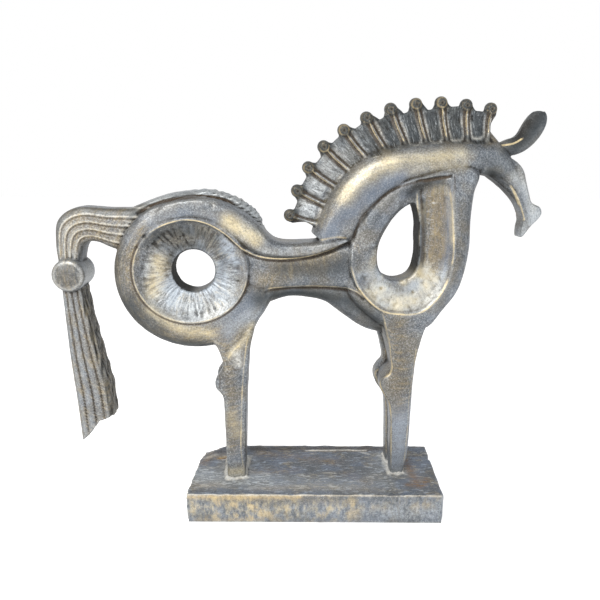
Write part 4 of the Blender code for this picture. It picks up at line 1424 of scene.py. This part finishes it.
class Signal:
    # One socket of a material, so that its sums can be written as sums.
    def __init__(self, tree, socket=None):
        self.tree = tree
        self.socket = socket

    def node(self, kind, settings=None, sockets=None, output=0):
        made = self.tree.nodes.new(kind)
        for name, value in (settings or {}).items():
            setattr(made, name, value)
        for name, value in (sockets or {}).items():
            if isinstance(value, Signal):
                self.tree.links.new(value.socket, made.inputs[name])
            else:
                made.inputs[name].default_value = value
        return Signal(self.tree, made.outputs[output])

    def sum(self, operation, first, second):
        return self.node("ShaderNodeMath", {"operation": operation}, {0: first, 1: second})

    def __add__(self, other):
        return self.sum("ADD", self, other)

    def __sub__(self, other):
        return self.sum("SUBTRACT", self, other)

    def __mul__(self, other):
        return self.sum("MULTIPLY", self, other)

    def __rsub__(self, other):
        return self.sum("SUBTRACT", other, self)

    __radd__ = __add__
    __rmul__ = __mul__

    def between(self, low, high):
        # 0 below low, 1 above high and a soft step from one to the other.
        limits = {"Value": self, "From Min": low, "From Max": high}
        return self.node("ShaderNodeMapRange", {"interpolation_type": "SMOOTHSTEP"}, limits)

    def size(self):
        return self.node("ShaderNodeMath", {"operation": "ABSOLUTE"}, {0: self})

    def attribute(self, name):
        return self.node("ShaderNodeAttribute", {"attribute_name": name}, output="Fac")

    def noise(self, vector, scale, detail=4.0, roughness=0.55, distortion=0.0):
        return self.node("ShaderNodeTexNoise", {}, {
            "Vector": vector, "Scale": scale, "Detail": detail, "Roughness": roughness,
            "Distortion": distortion,
        })

    def stretched(self, vector, scale, turn=(0, 0, 0)):
        return self.node("ShaderNodeMapping", {}, {"Vector": vector, "Scale": scale, "Rotation": turn})

    def polar(self, vector, centre, turnScale, reachScale):
        # Directions out from a point on the horse's side: rays by turnScale, hoops by reachScale.
        away = self.node("ShaderNodeVectorMath", {"operation": "SUBTRACT"}, {0: vector, 1: centre})
        level = self.node("ShaderNodeVectorMath", {"operation": "MULTIPLY"}, {0: away, 1: (1, 0, 1)})
        heading = self.node("ShaderNodeVectorMath", {"operation": "NORMALIZE"}, {0: level})
        reach = self.node("ShaderNodeVectorMath", {"operation": "LENGTH"}, {0: level}, output="Value")
        depth = self.node("ShaderNodeSeparateXYZ", {}, {"Vector": vector}, output="Y")
        across = self.node("ShaderNodeSeparateXYZ", {}, {"Vector": heading})
        upward = self.node("ShaderNodeSeparateXYZ", {}, {"Vector": heading}, output="Z")
        return self.node("ShaderNodeCombineXYZ", {}, {
            "X": across * turnScale, "Y": upward * turnScale, "Z": (reach + depth * 0.7) * reachScale,
        })

    def blend(self, factor, under, over):
        colours = {"Factor": factor, 6: under, 7: over}
        return self.node("ShaderNodeMix", {"data_type": "RGBA"}, colours, output=2)


def startMaterial(name):
    material = bpy.data.materials.new(name)
    material.use_nodes = True
    tree = material.node_tree
    shader = tree.nodes["Principled BSDF"]
    return material, Signal(tree), shader


def finishShader(tree, shader, values):
    for name, value in values.items():
        if isinstance(value, Signal):
            tree.links.new(value.socket, shader.inputs[name])
        else:
            shader.inputs[name].default_value = value


# Colours of the finishes, then the bare ground of both pieces and what all of it shares.
patina = {
    "slate": (0.092, 0.102, 0.117),
    "mist": (0.196, 0.213, 0.236),
    "umber": (0.152, 0.130, 0.094),
    "blue": (0.122, 0.152, 0.206),
    "tan": (0.330, 0.270, 0.165),
    "brown": (0.170, 0.137, 0.088),
    "gold": (0.690, 0.585, 0.360),
    "gilt": (0.720, 0.590, 0.350),
    "silver": (0.510, 0.545, 0.570),
    "pale": (0.700, 0.690, 0.640),
    "teal": (0.030, 0.036, 0.040),
    "bark": (0.050, 0.037, 0.026),
    "ice": (0.400, 0.470, 0.560),
    "amber": (0.600, 0.450, 0.220),
    # Near black, for specks and scratches and for painted shade.
    "sootAndShade": (0.014, 0.013, 0.012),
    "rust": (0.200, 0.118, 0.058),
    "horse": {"roughness": 0.38, "metal": 0.6, "bump": 0.5},
    "plinth": {"roughness": 0.5, "metal": 0.4, "bump": 0.55},
    "sheen": 0.2,
    "reliefDepth": 0.7,
}


def finishCast(signal, shader, ground, cloud, mottle, relief, layers):
    # Lays each finish over the mottled ground: cover, name of the colour, roughness and metallic.
    base = signal.blend(mottle, (*patina["slate"], 1), (*patina["mist"], 1))
    roughness = ground["roughness"] + (cloud - 0.5) * 0.3
    metallic = ground["metal"]
    for cover, colour, rough, metal in layers:
        base = signal.blend(cover, base, (*patina[colour], 1))
        roughness = roughness + cover * (rough - roughness)
        metallic = metallic + cover * (metal - metallic)
    height = {"Height": relief, "Strength": ground["bump"], "Distance": patina["reliefDepth"] * mm}
    finishShader(signal.tree, shader, {
        "Base Color": base, "Roughness": roughness, "Metallic": metallic,
        "Normal": signal.node("ShaderNodeBump", {}, height), "Specular IOR Level": patina["sheen"],
    })


def makeHorseFinish():
    material, signal, shader = startMaterial("patinatedCast")
    mask = signal.attribute
    place = signal.node("ShaderNodeTexCoord", output="Object")
    flat = signal.stretched(place, (1, 1, 1), (0, 0, math.radians(-horse["turn"])))
    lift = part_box("plinth")[1][2]
    cloud = signal.noise(place, 42.0, 3.0, 0.5)
    drift = signal.noise(signal.stretched(place, (1, 1, 1), (0.6, 0.3, 1.1)), 48.0, 3.0, 0.5)
    grain = signal.noise(place, 560.0, 3.0, 0.7)
    speck = signal.noise(place, 950.0, 2.0, 0.6)

    # Brushing runs round the rump and round the chest, and out along the rays of both bowls.
    rump = (horse["rumpHole"][0] * mm, 0, horse["rumpHole"][1] * mm + lift)
    breast = (horse["chestCentre"][0] * mm, 0, horse["chestCentre"][1] * mm + lift)
    fore = signal.node("ShaderNodeSeparateXYZ", {}, {"Vector": place}, output="X").between(-0.045, -0.025)
    rumpHoops = signal.noise(signal.polar(flat, rump, 6.0, 340.0), 1.0, 4.0, 0.7)
    breastHoops = signal.noise(signal.polar(flat, breast, 7.0, 300.0), 1.0, 4.0, 0.7)
    hoops = rumpHoops + fore * (breastHoops - rumpHoops)
    rays = signal.noise(signal.polar(flat, rump, 15.0, 110.0), 1.0, 4.0, 0.65)
    spokes = signal.noise(signal.polar(flat, breast, 20.0, 190.0), 1.0, 4.0, 0.65)
    upWeb = signal.node("ShaderNodeCombineXYZ", {}, {
        "X": mask("manePlace") * 16.0, "Y": mask("maneUp") * 5.0,
    })
    scratch = signal.noise(upWeb, 0.9, 4.0, 0.75, 0.8)
    knobGap = mask("knobGap")
    knobRing = 1 - (knobGap - 4.6).size().between(0.3, 1.1)
    knobHeart = 1 - knobGap.between(1.4, 2.8)

    dish, bowl, web = mask("dish"), mask("bowl"), mask("web")
    trough = mask("trough")
    tooth = signal.noise(signal.stretched(place, (1, 1, 1), (0.4, 1.2, 0.5)), 700.0, 2.0, 0.6)
    brushed = signal.noise(signal.stretched(flat, (1, 1, 0.2)), 330.0, 4.0, 0.75, 0.5)
    nicks = signal.noise(signal.stretched(flat, (0.4, 1, 2.4)), 300.0, 3.0, 0.7)
    across = signal.node("ShaderNodeSeparateXYZ", {}, {"Vector": flat}, output="X")
    nicked = nicks.between(0.56, 0.68) * (1 - across.between(0.108, 0.117))
    fleck = (grain * 0.5 + hoops * 0.5).between(0.40, 0.60)
    blotch = spokes * 0.45 + drift * 0.55
    streak = dish * rays + bowl * blotch + (1 - dish - bowl) * (hoops * 0.55 + grain * 0.45)
    mottle = (cloud * 0.32 + hoops * 0.3 + grain * 0.38).between(0.38, 0.62)
    gold, silver = mask("gold"), mask("silver")
    giltGap, shadeLineGap = mask("giltGap").size(), mask("shadeLineGap").size()
    giltMask = mask("gilt") * (1 - giltGap.between(0.5, 1.3))
    giltMask = giltMask * (0.45 + 0.55 * drift.between(0.40, 0.58))
    # Painted shade along grooves and creases.
    shadeLineMask = mask("shadeLine") * (1 - shadeLineGap.between(0.4, 1.6))
    strokeLight, strokeDark = streak.between(0.47, 0.62), 1 - streak.between(0.36, 0.49)
    calm = (1 - mask("dark") * 0.8) * (1 - mask("knob") * 0.85)
    satin = 1 - mask("blue") * 0.6
    relief = streak * (0.4 + dish * 0.9 + bowl * 0.8) + tooth * 0.4
    relief = relief + web * scratch * 1.2 + trough * brushed * 0.6
    finishCast(signal, shader, patina["horse"], cloud, mottle, relief, [
        (drift.between(0.40, 0.62) * 0.55, "umber", 0.45, 0.5),
        (mask("blue") * (0.6 + 0.4 * mottle) * 0.85, "blue", 0.42, 0.5),
        # Silver, partly a painted highlight on the bottoms of both bowls and on the back band.
        (silver * (0.5 + 0.5 * streak.between(0.35, 0.6)), "silver", 0.4, 0.5),
        (mask("brown") * (0.45 + 0.55 * fleck), "brown", 0.45, 0.5),
        (mask("brown") * (1 - dish) * hoops.between(0.50, 0.62) * 0.6, "tan", 0.45, 0.5),
        (tooth.between(0.50, 0.66) * 0.3 * calm * satin, "silver", 0.42, 0.5),
        ((1 - tooth.between(0.34, 0.50)) * 0.35 * satin, "teal", 0.5, 0.4),
        (dish * strokeLight * 0.3, "silver", 0.42, 0.4),
        (bowl * strokeLight * 0.3, "silver", 0.42, 0.4),
        ((dish + bowl) * cloud.between(0.46, 0.60) * 0.4, "ice", 0.42, 0.4),
        (dish * rays.between(0.50, 0.60) * drift.between(0.44, 0.58) * 0.4, "tan", 0.42, 0.5),
        (bowl * (1 - drift.between(0.36, 0.48)) * 0.4, "blue", 0.42, 0.5),
        (trough * (0.2 + 0.5 * brushed.between(0.42, 0.56)), "brown", 0.5, 0.4),
        (trough * brushed.between(0.50, 0.66) * drift.between(0.38, 0.56) * 0.55, "tan", 0.45, 0.45),
        (trough * (1 - brushed.between(0.32, 0.46)) * 0.5, "teal", 0.55, 0.3),
        (trough * across.between(0.119, 0.126) * 0.55, "blue", 0.45, 0.5),
        (trough * nicked * 0.45, "silver", 0.5, 0.2),
        # Dark paint, and painted shade in the dish's top, under the belly, on the hole walls, the ear and
        # the jaw.
        (mask("dark") * (0.8 + 0.2 * cloud), "teal", 0.55, 0.3),
        # Painted shade on what faces down.
        (mask("under") * 0.6, "teal", 0.6, 0.25),
        (mask("knob") * 0.9, "teal", 0.45, 0.3),
        (mask("knob") * grain.between(0.50, 0.66) * 0.35, "tan", 0.5, 0.3),
        (mask("knob") * knobRing * (0.1 + 0.6 * drift.between(0.44, 0.60)), "tan", 0.45, 0.4),
        (mask("knob") * knobHeart * 0.4, "umber", 0.5, 0.3),
        (dish * strokeDark * (1 - silver * 0.9) * 0.5, "bark", 0.6, 0.2),
        (bowl * strokeDark * 0.22, "umber", 0.55, 0.3),
        (bowl * drift.between(0.50, 0.62) * 0.25, "gold", 0.42, 0.5),
        # Painted shade in hollows, holes and creases.
        (mask("hollowShade") * 0.95, "sootAndShade", 0.95, 0.0),
        # Gold rub, partly a painted highlight on the neck, the back band and the chest bowl.
        (gold * (0.45 + 0.55 * streak.between(0.36, 0.62)) * 0.8, "gold", 0.42, 0.55),
        (mask("wear") * calm * (0.25 + 0.75 * fleck) * 0.32, "silver", 0.38, 0.5),
        (web * scratch.between(0.54, 0.64) * 0.3, "silver", 0.5, 0.3),
        (web * (1 - scratch.between(0.38, 0.46)) * 0.7, "sootAndShade", 0.6, 0.2),
        # Painted shade along grooves and creases, in dark bark.
        (shadeLineMask, "bark", 0.6, 0.2),
        (giltMask * (0.6 + 0.4 * fleck), "gilt", 0.36, 0.55),
        (mask("pale") * (0.4 + 0.6 * grain.between(0.4, 0.6)), "pale", 0.6, 0.0),
        (speck.between(0.60, 0.70) * 0.2 * calm, "pale", 0.6, 0.0),
        ((1 - speck.between(0.30, 0.42)) * 0.45, "sootAndShade", 0.6, 0.2),
    ])
    return material


def makePlinthFinish():
    material, signal, shader = startMaterial("patinatedPlinth")
    mask = signal.attribute
    place = signal.node("ShaderNodeTexCoord", output="Object")
    cloud = signal.noise(place, 45.0, 4.0, 0.55)
    drift = signal.noise(signal.stretched(place, (1, 1, 1), (0.6, 0.3, 1.1)), 60.0, 3.0, 0.55)
    grain = signal.noise(place, 560.0, 3.0, 0.7)
    speck = signal.noise(place, 950.0, 2.0, 0.6)
    long = signal.noise(signal.stretched(place, (0.36, 1, 1), (0, 0, 0.12)), 330.0, 4.0, 0.75, 0.6)
    patches = signal.noise(signal.stretched(place, (1, 1, 0.45)), 210.0, 4.0, 0.65) * 0.65 + drift * 0.35
    tall = signal.noise(signal.stretched(place, (1, 1, 0.6)), 340.0, 4.0, 0.75)
    top = mask("top")
    strokes = long * top + tall * (1 - top)
    mottle = (cloud * 0.5 + strokes * 0.5).between(0.36, 0.64)
    fleck = (strokes * 0.4 + grain * 0.3 + cloud * 0.3).between(0.40, 0.60)
    crack = 1 - (long - 0.5).size().between(0.012, 0.05)
    warm = drift.between(0.50, 0.62) * patches.between(0.40, 0.56)
    relief = strokes + grain * 0.5 + speck * 0.3
    finishCast(signal, shader, patina["plinth"], cloud, mottle, relief, [
        (drift.between(0.45, 0.66) * (1 - top * 0.6) * 0.4, "umber", 0.5, 0.4),
        ((0.4 + top * 0.4) * cloud.between(0.42, 0.56), "blue", 0.5, 0.4),
        (top * drift.between(0.48, 0.60) * long.between(0.44, 0.58) * 0.5, "tan", 0.5, 0.4),
        (mask("silver") * (0.35 + 0.65 * strokes.between(0.4, 0.6)), "silver", 0.45, 0.4),
        (top * crack * 0.4, "teal", 0.6, 0.2),
        (top * long.between(0.54, 0.66) * 0.45, "ice", 0.5, 0.3),
        # Painted shade in the plinth's concave places.
        (mask("hollowShade") * 0.45, "sootAndShade", 0.65, 0.2),
        (mask("rust") * (0.2 + 0.8 * long.between(0.40, 0.58)), "rust", 0.6, 0.25),
        (mask("dark") * (0.6 + 0.4 * cloud), "bark", 0.65, 0.2),
        (mask("brown") * (0.5 + 0.5 * fleck), "brown", 0.5, 0.3),
        ((1 - top) * crack * 0.35, "teal", 0.6, 0.2),
        (mask("gold") * (0.35 + 0.65 * fleck) * 0.7, "amber", 0.42, 0.55),
        (mask("patch") * patches.between(0.44, 0.60) * (0.5 + 0.5 * fleck) * 0.5, "gold", 0.42, 0.55),
        (mask("patch") * warm * 0.35, "amber", 0.42, 0.55),
        (mask("wear") * (0.3 + 0.7 * fleck) * 0.45, "silver", 0.42, 0.5),
        (mask("pale") * (0.45 + 0.55 * grain.between(0.35, 0.6)), "pale", 0.65, 0.0),
        (speck.between(0.60, 0.70) * 0.25, "pale", 0.6, 0.0),
        ((1 - speck.between(0.32, 0.42)) * 0.4, "sootAndShade", 0.6, 0.2),
    ])
    return material


def dress(piece, material, node):
    piece.data.materials.clear()
    piece.data.materials.append(material)
    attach(piece, "root")
    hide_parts(node)


# A pale floor under soft studio light.
studio = {
    "floorSize": 12.0,
    "floorColour": (0.90, 0.90, 0.90),
    "floorGlow": 0.52,
    "frontLight": 0.34,
    "backLight": 1.0,
    "keyPlace": (-0.5, -1.15, 1.1),
    "keySize": 1.0,
    "keyPower": 29.8,
    "fillPlace": (0.9, -0.9, 0.7),
    "fillSize": 0.8,
    "fillPower": 4.0,
    "aim": (0.0, 0.0, 0.2),
}


def addLight(name, place, size, power, colour):
    aim = Vector(studio["aim"]) - Vector(place)
    bpy.ops.object.light_add(type="AREA", location=place, rotation=aim.to_track_quat("-Z", "Y").to_euler())
    light = bpy.context.object
    light.name = name
    light.data.size = size
    light.data.energy = power
    light.data.color = colour


def makeStudio():
    bpy.ops.object.select_all(action="DESELECT")
    bpy.ops.mesh.primitive_plane_add(size=studio["floorSize"], location=(0, 0, -0.0005))
    floor = bpy.context.object
    floor.name = "floor"
    material, signal, shader = startMaterial("paleFloor")
    finishShader(signal.tree, shader, {
        "Base Color": (*studio["floorColour"], 1), "Roughness": 0.8,
        "Emission Color": (1, 1, 1, 1), "Emission Strength": studio["floorGlow"],
    })
    floor.data.materials.append(material)
    addLight("keyLight", studio["keyPlace"], studio["keySize"], studio["keyPower"], (1.0, 0.97, 0.92))
    addLight("fillLight", studio["fillPlace"], studio["fillSize"], studio["fillPower"], (0.92, 0.96, 1.0))

    # Paler behind the statue and overhead, dimmer in front, and one even white where it is seen itself.
    world = bpy.data.worlds.new("studio")
    bpy.context.scene.world = world
    world.use_nodes = True
    sky = Signal(world.node_tree)
    heading = sky.node("ShaderNodeTexCoord", output="Generated")
    behind = sky.node("ShaderNodeSeparateXYZ", {}, {"Vector": heading}, output="Y")
    above = sky.node("ShaderNodeSeparateXYZ", {}, {"Vector": heading}, output="Z")
    glow = (behind + above * 0.25).between(0.2, 0.8)
    lit = glow * (studio["backLight"] - studio["frontLight"]) + studio["frontLight"]
    seen = sky.node("ShaderNodeLightPath", output="Is Camera Ray")
    strength = lit + seen * (1 - lit)
    background = world.node_tree.nodes["Background"]
    background.inputs["Color"].default_value = (1.0, 1.0, 1.0, 1)
    sky.tree.links.new(strength.socket, background.inputs["Strength"])
    bpy.context.scene.view_settings.view_transform = "Standard"


addCamera()
makeStudio()
print("camera and studio ready")
horsePiece = makeHorse()
dress(horsePiece, makeHorseFinish(), "horse")
plinthPiece = makePlinth()
dress(plinthPiece, makePlinthFinish(), "plinth")
print("pieces dressed")


def writeSizes():
    def plain(box):
        return [[float(value) for value in corner] for corner in box]


writeSizes()
